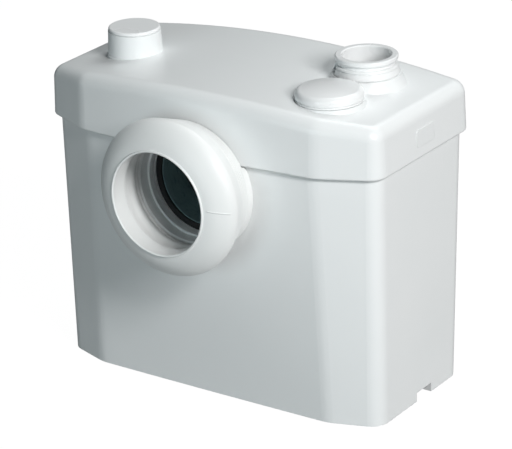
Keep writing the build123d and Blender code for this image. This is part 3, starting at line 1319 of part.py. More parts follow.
def switch_lever():
    """Lever between the plunger and the microswitch, on its pin."""
    half = LEVER_WIDTH / 2
    body = block(
        BELL_X - LEVER_TAIL, LEVER_PIN_X, BELL_Y - half, BELL_Y + half, LEVER_Z, LEVER_Z + LEVER_THICKNESS
    )
    body += rod_y(LEVER_KNUCKLE_R, BELL_Y - half, BELL_Y + half, LEVER_PIN_X, LEVER_PIN_Z)
    return body - rod_y(LEVER_PIN_R + RUN, BELL_Y - LEVER_ARM, BELL_Y + LEVER_ARM, LEVER_PIN_X, LEVER_PIN_Z)


def microswitch():
    """Microswitch on the bracket above the lever."""
    back = BELL_Y + LEVER_WIDTH / 2 + SLIP
    left = BELL_X + BRACKET_THICKNESS
    low = SWITCH_LOW_Z
    body = block(left, left + SWITCH_LENGTH, back - SWITCH_WIDTH, back, low, low + SWITCH_HEIGHT)
    for share in SWITCH_HOLE_SHARES:
        x = left + SWITCH_LENGTH * share
        body -= rod_y(LEVER_PIN_R, back - SWITCH_WIDTH - OVERRUN, back + OVERRUN, x, low + SWITCH_HEIGHT / 2)
    return body


PIECES = {
    "tank": tank,
    "lid": lid,
    "deck_gasket": gasket,
    "deck": deck,
    "deck_screws": deck_screws,
    "inlet_gaiter": inlet_gaiter,
    "inlet_seal_ring": inlet_seal_ring,
    "inlet_spout": inlet_spout,
    "motor_housing": motor_housing,
    "motor_end_cap": motor_end_cap,
    "stator_core": stator_core,
    "stator_windings": stator_windings,
    "lower_bearing": lambda: bearing(LOWER_BEARING_Z),
    "upper_bearing": lambda: bearing(UPPER_BEARING_Z),
    "shaft_seal": shaft_seal,
    "motor_shaft": motor_shaft,
    "rotor_core": rotor_core,
    "grinder_blade": grinder_blade,
    "impeller": impeller,
    "impeller_nut": impeller_nut,
    "run_capacitor": run_capacitor,
    "capacitor_clip": capacitor_clip,
    "terminal_block": terminal_block,
    "cord_gland": cord_gland,
    "gland_nut": gland_nut,
    "grinder_basket": grinder_basket,
    "volute_casing": volute_casing,
    "suction_plate": suction_plate,
    "pump_screws": pump_screws,
    "riser_pipe": riser_pipe,
    "riser_grommet": riser_grommet,
    "valve_body": valve_body,
    "valve_seat_seal": valve_seat_seal,
    "flap_pin": flap_pin,
    "valve_flap": valve_flap,
    "discharge_sleeve": discharge_sleeve,
    "clamp_band": clamp_band,
    "clamp_screw": clamp_screw,
    "blanking_cap": blanking_cap,
    "blanking_seal": blanking_seal,
    "carbon_filter": carbon_filter,
    "vent_cap": vent_cap,
    "pressure_bell": pressure_bell,
    "diaphragm": diaphragm,
    "diaphragm_cover": diaphragm_cover,
    "switch_plunger": switch_plunger,
    "switch_lever": switch_lever,
    "microswitch": microswitch,
}


def solids_of(made):
    """One compound of the separate solids that a piece's function returns."""
    shapes = made if isinstance(made, list) else [made]
    return Compound([solid for shape in shapes for solid in shape.solids()])


for node, make in PIECES.items():
    export_step(solids_of(make()), f"parts/{node}.step")
    print("made", node)
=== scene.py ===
"""Looks of a floor-standing macerator toilet pump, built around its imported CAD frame.

The frame gives every piece its place. This script gives each piece the finish of its
real material, replaces the pieces whose detail needs more than the solid holds, and
sets up a plain pale studio seen from the photograph's viewing angle.
"""

import json
import logging
import math
from dataclasses import dataclass
from enum import Enum

import bpy
from mathutils import Matrix, Vector


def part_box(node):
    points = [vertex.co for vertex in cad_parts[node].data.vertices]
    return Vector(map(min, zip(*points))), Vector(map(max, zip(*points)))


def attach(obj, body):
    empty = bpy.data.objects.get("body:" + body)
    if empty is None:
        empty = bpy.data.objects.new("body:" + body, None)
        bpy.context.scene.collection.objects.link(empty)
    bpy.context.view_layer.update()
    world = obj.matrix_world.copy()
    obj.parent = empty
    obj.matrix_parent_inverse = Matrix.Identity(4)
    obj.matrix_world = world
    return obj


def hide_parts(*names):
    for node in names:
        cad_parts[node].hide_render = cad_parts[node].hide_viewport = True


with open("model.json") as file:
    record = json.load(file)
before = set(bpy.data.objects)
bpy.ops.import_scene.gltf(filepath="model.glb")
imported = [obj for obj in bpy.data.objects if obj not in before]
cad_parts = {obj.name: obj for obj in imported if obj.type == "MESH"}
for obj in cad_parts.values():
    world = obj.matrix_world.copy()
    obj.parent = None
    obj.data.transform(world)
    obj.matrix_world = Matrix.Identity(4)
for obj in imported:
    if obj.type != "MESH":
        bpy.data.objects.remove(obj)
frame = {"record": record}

MM = 0.001
# Two points closer than this are one point, and a pole is a ring a quarter of it wide until they merge.
HAIR_MM = 0.02
POLE_MM = HAIR_MM / 4
SMOOTH_ANGLE = math.radians(35)
WHITE = (1.0, 1.0, 1.0, 1.0)
# The sRGB standard's transfer curve: a straight start, then a power.
SRGB_STRAIGHT_END = 0.04045
SRGB_STRAIGHT_SLOPE = 12.92
SRGB_OFFSET = 0.055
SRGB_POWER = 2.4
LOG = logging.getLogger("macerator_pump")

Pairs = list[tuple[float, float]]
Triple = tuple[float, float, float]


class Axis(Enum):
    """Direction that a round piece runs along, as the turn that takes it there from upright."""

    X = (0.0, math.pi / 2, 0.0)
    Z = (0.0, 0.0, 0.0)


def linear(hex_colour: str) -> tuple[float, float, float, float]:
    """Turns an sRGB hex value into a linear colour with full alpha.

    Args:
        hex_colour: Six hex digits.

    Returns:
        Red, green, blue and alpha in linear light.
    """
    light = []
    for start in (0, 2, 4):
        channel = int(hex_colour[start:start + 2], 16) / 255
        if channel <= SRGB_STRAIGHT_END:
            light.append(channel / SRGB_STRAIGHT_SLOPE)
        else:
            light.append(((channel + SRGB_OFFSET) / (1 + SRGB_OFFSET)) ** SRGB_POWER)
    return light[0], light[1], light[2], 1.0


def per_metre(size_mm: float) -> float:
    """Texture scale whose features are about one real size across.

    Args:
        size_mm: Feature size in millimetres.

    Returns:
        Scale for a texture that reads Object coordinates in metres.
    """
    return 1 / (size_mm * MM)


def add_node(
    tree: bpy.types.NodeTree, kind: str, settings: dict | None = None, **links: bpy.types.NodeSocket
) -> bpy.types.Node:
    """Adds one shader node, sets its values and links its inputs.

    Args:
        tree: Node tree that takes the node.
        kind: Blender's name of the node type.
        settings: Node properties, or socket values under the socket's name or number.
        **links: Output sockets by the input's name, with underscores for spaces, or by its number
            after "at".

    Returns:
        The new node.
    """
    node = tree.nodes.new(kind)
    for name, value in (settings or {}).items():
        if isinstance(name, str) and hasattr(node, name):
            setattr(node, name, value)
        else:
            node.inputs[name].default_value = value
    for name, source in links.items():
        key = int(name[2:]) if name.startswith("at") and name[2:].isdigit() else name.replace("_", " ")
        tree.links.new(source, node.inputs[key])
    return node


@dataclass(frozen=True)
class Finish:
    """Base of every finish: a principled shader on Object coordinates.

    The colour drifts to the second one in clouds of tone_mm, and the roughness drifts with it by its
    spread. The grain is a fine relief of grain_height_mm.
    """

    name: str
    colour: str
    second: str
    roughness: float = 0.4
    roughness_spread: float = 0.12
    metallic: float = 0.0
    ior: float = 1.5
    tone_mm: float = 40.0
    grain_mm: float = 0.9
    grain_height_mm: float = 0.01
    grain_strength: float = 0.35

    def place(self, tree: bpy.types.NodeTree) -> bpy.types.NodeSocket:
        """Coordinates that the patterns read, in metres on the object."""
        return add_node(tree, "ShaderNodeTexCoord").outputs["Object"]

    def tone(self, tree: bpy.types.NodeTree, place: bpy.types.NodeSocket) -> bpy.types.NodeSocket:
        """Slow drift between the two colours, from 0 to 1."""
        noise = add_node(
            tree, "ShaderNodeTexNoise", {"Scale": per_metre(self.tone_mm), "Detail": 2.0}, Vector=place
        )
        return noise.outputs["Fac"]

    def relief(self, tree: bpy.types.NodeTree, place: bpy.types.NodeSocket) -> bpy.types.NodeSocket:
        """Height of the fine surface grain, from 0 to 1."""
        noise = add_node(
            tree, "ShaderNodeTexNoise", {"Scale": per_metre(self.grain_mm), "Detail": 3.0}, Vector=place
        )
        return noise.outputs["Fac"]

    def base_normal(self, tree: bpy.types.NodeTree) -> dict:
        """Normal under the relief: none, unless a finish rounds its edges."""
        return {}

    def extras(self) -> dict:
        """Constants for the shader's own sockets."""
        return {}

    def make(self) -> bpy.types.Material:
        """Builds the node material.

        Returns:
            The new material.
        """
        material = bpy.data.materials.new(self.name)
        material.use_nodes = True
        tree = material.node_tree
        tree.nodes.clear()
        output = add_node(tree, "ShaderNodeOutputMaterial")
        place = self.place(tree)
        tone = self.tone(tree, place)
        tint = add_node(
            tree,
            "ShaderNodeMix",
            {"data_type": "RGBA", 6: linear(self.colour), 7: linear(self.second)},
            Factor=tone,
        )
        bump = add_node(
            tree,
            "ShaderNodeBump",
            {"Strength": self.grain_strength, "Distance": self.grain_height_mm * MM},
            Height=self.relief(tree, place),
            **self.base_normal(tree),
        )
        low = self.roughness * (1 - self.roughness_spread)
        high = self.roughness * (1 + self.roughness_spread)
        gloss = add_node(tree, "ShaderNodeMapRange", {"To Min": low, "To Max": high}, Value=tone)
        shader = add_node(
            tree,
            "ShaderNodeBsdfPrincipled",
            {"Metallic": self.metallic, "IOR": self.ior, **self.extras()},
            Base_Color=tint.outputs[2],
            Roughness=gloss.outputs["Result"],
            Normal=bump.outputs["Normal"],
        )
        tree.links.new(shader.outputs["BSDF"], output.inputs["Surface"])
        return material


@dataclass(frozen=True)
class MouldedPlastic(Finish):
    """Injection-moulded thermoplastic: an even colour, faint clouding, satin grain and soft arrises."""

    edge_mm: float = 0.6

    def base_normal(self, tree: bpy.types.NodeTree) -> dict:
        """Rounds the sharp arrises a little, as a mould's cutter leaves them."""
        bevel = add_node(tree, "ShaderNodeBevel", {"samples": 4, "Radius": self.edge_mm * MM})
        return {"Normal": bevel.outputs["Normal"]}


@dataclass(frozen=True)
class MouldedRubber(MouldedPlastic):
    """Compression-moulded elastomer: dull, with a soft sheen at grazing angles."""

    sheen: float = 0.25

    def extras(self) -> dict:
        """Soft sheen of a matt elastomer skin."""
        return {"Sheen Weight": self.sheen, "Sheen Roughness": 0.5}


@dataclass(frozen=True)
class FilledPlastic(MouldedPlastic):
    """Thermoplastic with short glass fibres, which show as fine pale flecks in streaks."""

    fibre_mm: float = 2.5
    fibre_aspect: float = 6.0
    fleck_low: float = 0.35
    fleck_high: float = 0.75

    def tone(self, tree: bpy.types.NodeTree, place: bpy.types.NodeSocket) -> bpy.types.NodeSocket:
        """Streaked flecks, stretched along the flow of the mould.

        Args:
            tree: Node tree of the material.
            place: Coordinates in metres.

        Returns:
            Socket that runs from 0 between the flecks to 1 on them.
        """
        drawn = {"Scale": (1.0, 1.0, 1 / self.fibre_aspect)}
        stretch = add_node(tree, "ShaderNodeMapping", drawn, Vector=place)
        flecks = add_node(
            tree,
            "ShaderNodeTexNoise",
            {"Scale": per_metre(self.fibre_mm), "Detail": 4.0, "Roughness": 0.7},
            Vector=stretch.outputs["Vector"],
        )
        contrast = add_node(
            tree,
            "ShaderNodeMapRange",
            {"From Min": self.fleck_low, "From Max": self.fleck_high},
            Value=flecks.outputs["Fac"],
        )
        return contrast.outputs["Result"]


@dataclass(frozen=True)
class TurnedMetal(Finish):
    """Metal turned on a lathe: fine rings about an upright axis."""

    ring_mm: float = 0.5

    def relief(self, tree: bpy.types.NodeTree, place: bpy.types.NodeSocket) -> bpy.types.NodeSocket:
        """Tool rings: level bands, broken a little by noise.

        Args:
            tree: Node tree of the material.
            place: Coordinates in metres.

        Returns:
            Socket with the height of the rings, from 0 to 1.
        """
        wave = add_node(
            tree,
            "ShaderNodeTexWave",
            {
                "wave_type": "BANDS",
                "bands_direction": "Z",
                "Scale": per_metre(self.ring_mm * math.tau) / math.tau,
                "Distortion": 0.6,
                "Detail": 2.0,
                "Detail Scale": 1.5,
            },
            Vector=place,
        )
        return wave.outputs["Fac"]


@dataclass(frozen=True)
class BrushedMetal(Finish):
    """Sheet metal brushed one way: long fine scratches."""

    stretch: Triple = (0.04, 1.0, 1.0)

    def place(self, tree: bpy.types.NodeTree) -> bpy.types.NodeSocket:
        """Coordinates drawn out along the brushing."""
        place = add_node(tree, "ShaderNodeTexCoord").outputs["Object"]
        return add_node(tree, "ShaderNodeMapping", {"Scale": self.stretch}, Vector=place).outputs["Vector"]


@dataclass(frozen=True)
class LaminatedSteel(Finish):
    """Stack of varnished electrical sheets, whose edges show as level lines."""

    sheet_mm: float = 0.65

    def lines(self, tree: bpy.types.NodeTree, place: bpy.types.NodeSocket) -> bpy.types.NodeSocket:
        """One light band for each sheet.

        Args:
            tree: Node tree of the material.
            place: Coordinates in metres.

        Returns:
            Socket that runs from 0 between the sheets to 1 on them.
        """
        wave = add_node(
            tree,
            "ShaderNodeTexWave",
            {
                "wave_type": "BANDS",
                "bands_direction": "Z",
                "Scale": per_metre(self.sheet_mm) / math.tau,
                "Distortion": 0.3,
                "Detail": 1.0,
            },
            Vector=place,
        )
        return wave.outputs["Fac"]

    def tone(self, tree: bpy.types.NodeTree, place: bpy.types.NodeSocket) -> bpy.types.NodeSocket:
        """Varnish colour that changes from sheet to sheet."""
        return self.lines(tree, place)

    def relief(self, tree: bpy.types.NodeTree, place: bpy.types.NodeSocket) -> bpy.types.NodeSocket:
        """Sheet edges stand a hair proud of the varnish between them."""
        return self.lines(tree, place)


@dataclass(frozen=True)
class WoundCopper(LaminatedSteel):
    """Enamelled copper wire laid in a bundle: bright strands, with painted shade in the dark gaps between
    them.
    """

    def extras(self) -> dict:
        """Clear enamel over the wire."""
        return {"Coat Weight": 0.6, "Coat Roughness": 0.15}


@dataclass(frozen=True)
class PressedGranules(Finish):
    """Activated charcoal granules pressed in open foam: deep pores and glinting grains."""

    grain_cell_mm: float = 1.6
    grain_reach: float = 0.9

    def cells(self, tree: bpy.types.NodeTree, place: bpy.types.NodeSocket) -> bpy.types.Node:
        """Pattern with one cell for each grain."""
        return add_node(tree, "ShaderNodeTexVoronoi", {"Scale": per_metre(self.grain_cell_mm)}, Vector=place)

    def relief(self, tree: bpy.types.NodeTree, place: bpy.types.NodeSocket) -> bpy.types.NodeSocket:
        """Rounded grains with pores between them.

        Args:
            tree: Node tree of the material.
            place: Coordinates in metres.

        Returns:
            Socket that runs from 1 in the middle of a grain to 0 in a pore.
        """
        rounded = add_node(
            tree,
            "ShaderNodeMapRange",
            {"From Max": self.grain_reach, "To Min": 1.0, "To Max": 0.0},
            Value=self.cells(tree, place).outputs["Distance"],
        )
        return rounded.outputs["Result"]

    def tone(self, tree: bpy.types.NodeTree, place: bpy.types.NodeSocket) -> bpy.types.NodeSocket:
        """Each grain has its own depth of black."""
        parts = add_node(
            tree, "ShaderNodeSeparateColor", None, Color=self.cells(tree, place).outputs["Color"]
        )
        return parts.outputs["Red"]


def palette() -> dict[str, bpy.types.Material]:
    """Makes every material once.

    Returns:
        Materials by the short name that the sub-assemblies use.
    """
    finishes = {
        # ABS, injection moulded in a spark-eroded tool: clean white with a cool cast and a low satin shine.
        "shell": MouldedPlastic("moulded_white_abs", "EEF0F0", "E9ECEC", 0.34, ior=1.53, tone_mm=70),
        # Polypropylene, injection moulded and polished: a little brighter and smoother than the case.
        "trim": MouldedPlastic(
            "moulded_white_polypropylene", "F1F2F2", "ECEEEE", 0.28,
            ior=1.49, edge_mm=0.5,
        ),
        # Thermoplastic elastomer, moulded white: dull and soft, with a faint cloud.
        "collar": MouldedRubber(
            "moulded_white_elastomer", "EEF0EF", "E8EAE9", 0.46,
            grain_mm=1.4, edge_mm=0.5,
        ),
        # Nitrile rubber, compression moulded: near black with a dull bloom.
        "nitrile": MouldedRubber(
            "moulded_black_nitrile", "080A0A", "0D1010", 0.58,
            ior=1.52, grain_mm=0.7, sheen=0.06,
        ),
        # EPDM membrane, moulded thin: dark grey, with a talc bloom in patches.
        "membrane": MouldedRubber("moulded_grey_epdm", "1E2122", "2A2D2E", 0.66, tone_mm=9, grain_mm=0.6),
        # Polypropylene with glass fibre, moulded grey: matt, with streaks of pale flecks.
        "grey": FilledPlastic("moulded_grey_glass_filled_polypropylene", "7E8284", "8F9395", 0.5, ior=1.49),
        # The same grade tinted slate blue and a little shiny: the slate blue is painted cool shade for the
        # deep inlet throat and the basket inside.
        "wet": FilledPlastic("moulded_slate_polypropylene_painted_shade", "6E888C", "7C969A", 0.3, ior=1.49),
        # Polyamide with glass fibre, moulded black: satin, with grey flecks.
        "black": FilledPlastic("moulded_black_glass_filled_polyamide", "17181A", "242628", 0.42, ior=1.53),
        # Polycarbonate blend, moulded cream: a smooth terminal body.
        "cream": MouldedPlastic(
            "moulded_cream_polycarbonate", "DCD6C4", "D6CFBC", 0.32,
            ior=1.58, tone_mm=14,
        ),
        # Bearing and shaft steel, ground bright: tight rings and a clean mirror haze.
        "ground": TurnedMetal(
            "ground_bearing_steel", "C4C5C7", "BBBCBF", 0.2,
            metallic=1.0, grain_height_mm=0.006,
        ),
        # Screws and nuts, rolled steel with bright zinc: a pale blue-grey passivated skin.
        "zinc": Finish(
            "zinc_plated_steel", "C2C6CA", "AEB4B9", 0.3,
            roughness_spread=0.25, metallic=1.0, tone_mm=2.5, grain_mm=0.5,
        ),
        # Grinder blade, stainless sheet brushed along its length.
        "stainless": BrushedMetal(
            "brushed_stainless_steel", "B9B9B7", "A9A9A7", 0.3,
            metallic=1.0, grain_mm=0.6, grain_height_mm=0.008,
        ),
        # Spring steel strip of the clip and lever: rolled, slightly dark from heat treatment.
        "spring": BrushedMetal(
            "rolled_spring_steel", "9C9EA1", "8C8E92", 0.34,
            metallic=1.0, grain_mm=0.8, stretch=(1.0, 0.05, 1.0),
        ),
        # Electrical steel sheets, stacked and varnished: fine level lines. Drawn at 0.65 mm to show.
        "laminations": LaminatedSteel(
            "varnished_electrical_steel", "6E7074", "515357", 0.42,
            metallic=0.85, grain_height_mm=0.03, grain_strength=0.6,
        ),
        # Enamelled copper wire of 0.7 mm, wound in bundles under clear varnish; its dark second colour paints
        # the shade between the strands.
        "copper": WoundCopper(
            "enamelled_copper_wire", "B96A35", "74361A", 0.32,
            metallic=0.9, sheet_mm=0.7, grain_height_mm=0.12, grain_strength=0.8,
        ),
        # Capacitor can, deep-drawn aluminium: fine lines along the draw.
        "aluminium": BrushedMetal(
            "drawn_aluminium_can", "D0D2D5", "C2C5C9", 0.3,
            metallic=1.0, grain_mm=0.7, stretch=(0.03, 1.0, 1.0),
        ),
        # Terminal screws, brass under dull nickel.
        "brass": Finish(
            "nickel_plated_brass", "C9B98F", "B8A478", 0.34,
            roughness_spread=0.2, metallic=1.0, tone_mm=2.0, grain_mm=0.5,
        ),
        # Charcoal filter, granules pressed in open foam.
        "charcoal": PressedGranules(
            "pressed_charcoal_foam", "0E0E0F", "26272A", 0.7,
            grain_height_mm=0.5, grain_strength=0.9,
        ),
    }
    return {key: finish.make() for key, finish in finishes.items()}


def dress(node: str, material: bpy.types.Material) -> None:
    """Gives a CAD node a new material in all its slots.

    Args:
        node: Name of the CAD node.
        material: Material that it takes.
    """
    thing = bpy.data.objects[node]
    for number in range(len(thing.material_slots)):
        thing.material_slots[number].material = material
    if not thing.material_slots:
        thing.data.materials.append(material)
    LOG.info("dressed %s in %s", node, material.name)


def deselect() -> None:
    """Leaves nothing selected."""
    bpy.ops.object.select_all(action="DESELECT")


def centre_mm(node: str) -> tuple[Vector, Vector]:
    """Middle and size of a CAD node at rest.

    Args:
        node: Name of the CAD node.

    Returns:
        Middle and size, both in millimetres.
    """
    low, high = (Vector(corner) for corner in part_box(node))
    return (low + high) / 2 / MM, (high - low) / MM


def lathe(profile: Pairs, centre: Triple, axis: Axis = Axis.Z, segments: int = 72) -> bpy.types.Object:
    """Round piece drawn by extruding one ring through radius and height pairs.

    Args:
        profile: Radius and height pairs in millimetres. A closed profile repeats its first pair.
        centre: Place of the profile's zero in millimetres.
        axis: Direction of the round piece.
        segments: Sides of the ring.

    Returns:
        The finished mesh object.
    """
    deselect()
    first = max(profile[0][0], POLE_MM)
    bpy.ops.mesh.primitive_circle_add(
        vertices=segments, radius=first * MM, fill_type="NOTHING", location=(0, 0, profile[0][1] * MM)
    )
    piece = bpy.context.object
    bpy.ops.object.transform_apply(location=True, rotation=True, scale=True)
    bpy.ops.object.mode_set(mode="EDIT")
    bpy.ops.mesh.select_all(action="SELECT")
    radius, height = first, profile[0][1]
    for next_radius, next_height in profile[1:]:
        wide = max(next_radius, POLE_MM)
        rise = (0, 0, (next_height - height) * MM)
        bpy.ops.mesh.extrude_region_move(TRANSFORM_OT_translate={"value": rise})
        share = wide / radius
        bpy.ops.transform.resize(value=(share, share, 1), center_override=(0, 0, next_height * MM))
        radius, height = wide, next_height
    bpy.ops.mesh.select_all(action="SELECT")
    bpy.ops.mesh.remove_doubles(threshold=HAIR_MM * MM)
    bpy.ops.mesh.normals_make_consistent(inside=False)
    bpy.ops.object.mode_set(mode="OBJECT")
    piece.rotation_euler = axis.value
    piece.location = Vector(centre) * MM
    bpy.ops.object.transform_apply(location=True, rotation=True, scale=True)
    return piece


def block(low: Triple, high: Triple, bevel: float = 0.4, steps: int = 2) -> bpy.types.Object:
    """Box with rounded arrises between two corners.

    Args:
        low: Lowest corner in millimetres.
        high: Highest corner in millimetres.
        bevel: Width of the rounded arris in millimetres.
        steps: Faces across each arris.

    Returns:
        The finished mesh object.
    """
    deselect()
    middle = [(a + b) / 2 * MM for a, b in zip(low, high)]
    size = [(b - a) * MM for a, b in zip(low, high)]
    bpy.ops.mesh.primitive_cube_add(size=1, location=middle, scale=size)
    piece = bpy.context.object
    bpy.ops.object.transform_apply(location=True, rotation=True, scale=True)
    bpy.ops.object.mode_set(mode="EDIT")
    bpy.ops.mesh.select_all(action="SELECT")
    bpy.ops.mesh.bevel(offset=bevel * MM, segments=steps, affect="EDGES")
    bpy.ops.mesh.normals_make_consistent(inside=False)
    bpy.ops.object.mode_set(mode="OBJECT")
    return piece


@dataclass(frozen=True)
class PanHead:
    """Shape of a pan-head screw, in shares of its head's radius and height or of its shank's radius."""

    dome: tuple[tuple[float, float], ...] = ((1.0, 0.5), (0.93, 0.75), (0.75, 0.93), (0.4, 1.0))
    tip: float = 0.3
    slot: float = 0.13
    slot_reach: float = 0.52
    slot_floor: float = 0.45
    sides: int = 32


PAN_HEAD = PanHead()


def pan_screw(head: float, height: float, shank: float, length: float, centre: Triple) -> bpy.types.Object:
    """Upright pan-head screw with a cross recess.

    Args:
        head: Radius of the head in millimetres.
        height: Height of the head in millimetres.
        shank: Radius of the shank in millimetres.
        length: Length of the shank in millimetres.
        centre: Middle of the seat under the head in millimetres.

    Returns:
        The finished mesh object.
    """
    tip = shank * PAN_HEAD.tip
    point = [(0, -length), (shank - tip, -length), (shank, -length + tip), (shank, 0), (head, 0)]
    dome = [(head * wide, height * tall) for wide, tall in PAN_HEAD.dome]
    screw = lathe([*point, *dome, (0, height)], (0, 0, 0), segments=PAN_HEAD.sides)
    slot = head * PAN_HEAD.slot
    reach = head * PAN_HEAD.slot_reach
    for wide, deep in ((reach, slot), (slot, reach)):
        low = (-wide, -deep, height * PAN_HEAD.slot_floor)
        cut(screw, block(low, (wide, deep, height * 2), bevel=slot / 4, steps=1))
    screw.data.transform(Matrix.Translation(Vector(centre) * MM))
    return screw


def cut(piece: bpy.types.Object, cutter: bpy.types.Object) -> None:
    """Cuts one mesh out of another and removes the cutter.

    Args:
        piece: Mesh that is cut.
        cutter: Mesh that is taken away from it.
    """
    modifier = piece.modifiers.new("cut", "BOOLEAN")
    modifier.operation = "DIFFERENCE"
    modifier.solver = "EXACT"
    modifier.object = cutter
    deselect()
    piece.select_set(True)
    bpy.context.view_layer.objects.active = piece
    bpy.ops.object.modifier_apply(modifier=modifier.name)
    bpy.data.objects.remove(cutter, do_unlink=True)


def joined(pieces: list[bpy.types.Object]) -> bpy.types.Object:
    """Joins meshes into the first of them.

    Args:
        pieces: Meshes to join.

    Returns:
        The joined mesh object.
    """
    deselect()
    for piece in pieces:
        piece.select_set(True)
    bpy.context.view_layer.objects.active = pieces[0]
    if len(pieces) > 1:
        bpy.ops.object.join()
    return bpy.context.view_layer.objects.active


def turned_copy(piece: bpy.types.Object, turn: float, about: Vector) -> bpy.types.Object:
    """Copies a mesh to another place round an upright axis, with its own mesh.

    Args:
        piece: Mesh to copy.
        turn: Turn about the axis, in radians.
        about: Point on the axis in millimetres.

    Returns:
        The copy, with its place in its mesh.
    """
    twin = piece.copy()
    twin.data = piece.data.copy()
    bpy.context.scene.collection.objects.link(twin)
    pivot = Matrix.Translation(about * MM)
    twin.data.transform(pivot @ Matrix.Rotation(turn, 4, "Z") @ pivot.inverted())
    return twin


@dataclass(frozen=True)
class Stud:
    """One upright screw of a CAD node: its axis, its ends and its radii, in millimetres."""

    x: float
    y: float
    low: float
    high: float
    head: float
    shank: float


def studs(node: str, apart: float = 12.0) -> list[Stud]:
    """Finds the upright screws that a CAD node holds.

    Args:
        node: Name of the CAD node.
        apart: Least distance between two screws in millimetres.

    Returns:
        One entry for each screw.
    """
    heaps: list[list[Vector]] = []
    for vertex in bpy.data.objects[node].data.vertices:
        spot = vertex.co / MM
        near = (heap for heap in heaps if math.dist(spot.xy, heap[0].xy) < apart)
        home = next(near, None)
        if home is None:
            heaps.append([spot])
        else:
            home.append(spot)
    found = []
    for heap in heaps:
        x = (min(spot.x for spot in heap) + max(spot.x for spot in heap)) / 2
        y = (min(spot.y for spot in heap) + max(spot.y for spot in heap)) / 2
        low, high = min(spot.z for spot in heap), max(spot.z for spot in heap)
        reach = [(math.hypot(spot.x - x, spot.y - y), spot.z) for spot in heap]
        head = max(radius for radius, level in reach)
        shank = max(radius for radius, level in reach if level < low + HAIR_MM)
        found.append(Stud(x, y, low, high, head, shank))
    return found


def settle(
    piece: bpy.types.Object, name: str, node: str, material: bpy.types.Material, whole: bool = True
) -> None:
    """Names a new piece, dresses it and hands it to the body of the node that it belongs to.

    Args:
        piece: The new mesh.
        name: Name of the piece.
        node: CAD node that it replaces or sits on.
        material: Material that it takes.
        whole: True where it replaces the node, False where it only adds to it.
    """
    piece.name = name
    piece.data.name = name
    piece.data.materials.clear()
    piece.data.materials.append(material)
    deselect()
    piece.select_set(True)
    bpy.context.view_layer.objects.active = piece
    bpy.ops.object.shade_smooth_by_angle(angle=SMOOTH_ANGLE)
    rows = frame["record"]
    body = next(body for body, nodes in rows["behaviour"]["bodies"].items() if node in nodes)
    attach(piece, body)
    if whole:
        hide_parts(node)
    LOG.info("made %s on body %s", name, body)


@dataclass
class SubAssembly:
    """One group of pieces that comes apart together, with the materials that it uses."""

    materials: dict[str, bpy.types.Material]

    def dress_all(self, finishes: dict[str, str]) -> None:
        """Dresses CAD nodes by the short names of their finishes."""
        for node, finish in finishes.items():
            dress(node, self.materials[finish])

    def screw_set(self, node: str, height: float) -> None:
        """Replaces plain screws by pan-head screws with a cross recess.

        Args:
            node: CAD node that holds the screws.
            height: Height of a head in millimetres.
        """
        pieces = []
        for stud in studs(node):
            seat = stud.high - height
            pieces.append(pan_screw(stud.head, height, stud.shank, seat - stud.low, (stud.x, stud.y, seat)))
        settle(joined(pieces), node + "_pan_heads", node, self.materials["zinc"])


@dataclass
class OuterCase(SubAssembly):
    """Tank, lid, tray and what seals and clamps them."""

    head_mm: float = 2.4

    def build(self) -> None:
        """Dresses the case and makes the tray's screws."""
        self.dress_all({
            "tank": "shell", "lid": "shell", "deck": "grey", "deck_gasket": "nitrile", "deck_screws": "zinc",
        })
        self.screw_set("deck_screws", self.head_mm)


@dataclass
class InletCollar(SubAssembly):
    """Rubber collar, the black ring in its throat and the spout behind it."""

    seam_turn_deg: float = 2.0
    seam_lean_deg: float = -9.0
    seam_near_mm: float = 49.0
    seam_far_mm: float = 65.0
    seam_width_mm: float = 0.8
    seam_height_mm: float = 1.0
    seam_start_mm: float = 10.0
    seam_cuts: int = 48

    def seam(self) -> None:
        """Faint parting line of the mould: a strip ahead of the collar, laid back on its face."""
        middle, size = centre_mm("inlet_gaiter")
        front = middle.y - size.y / 2 - self.seam_start_mm
        turn, lean = math.radians(self.seam_turn_deg), math.radians(self.seam_lean_deg)
        reach = (self.seam_near_mm + self.seam_far_mm) / 2
        spot = Vector((middle.x + reach * math.cos(turn), front, middle.z + reach * math.sin(turn)))
        deselect()
        bpy.ops.mesh.primitive_plane_add(size=1, location=spot * MM, rotation=(math.pi / 2, -lean, 0))
        piece = bpy.context.object
        piece.scale = ((self.seam_far_mm - self.seam_near_mm) * MM, self.seam_width_mm * MM, 1)
        bpy.ops.object.transform_apply(location=True, rotation=True, scale=True)
        bpy.ops.object.mode_set(mode="EDIT")
        bpy.ops.mesh.select_all(action="SELECT")
        bpy.ops.mesh.subdivide(number_cuts=self.seam_cuts)
        bpy.ops.object.mode_set(mode="OBJECT")
        wrap = piece.modifiers.new("wrap", "SHRINKWRAP")
        wrap.wrap_method = "PROJECT"
        wrap.use_project_y = True
        wrap.use_positive_direction = True
        wrap.use_negative_direction = True
        wrap.target = bpy.data.objects["inlet_gaiter"]
        bpy.ops.object.modifier_apply(modifier=wrap.name)
        wall = piece.modifiers.new("wall", "SOLIDIFY")
        wall.thickness = self.seam_height_mm * MM
        wall.offset = 0.0
        bpy.ops.object.modifier_apply(modifier=wall.name)
        settle(piece, "collar_mould_seam", "inlet_gaiter", self.materials["collar"], whole=False)

    def build(self) -> None:
        """Dresses the inlet and lays the seam on the collar."""
        # The spout's slate finish paints the cool shade deep in the throat.
        self.dress_all({"inlet_gaiter": "collar", "inlet_seal_ring": "nitrile", "inlet_spout": "wet"})
        self.seam()


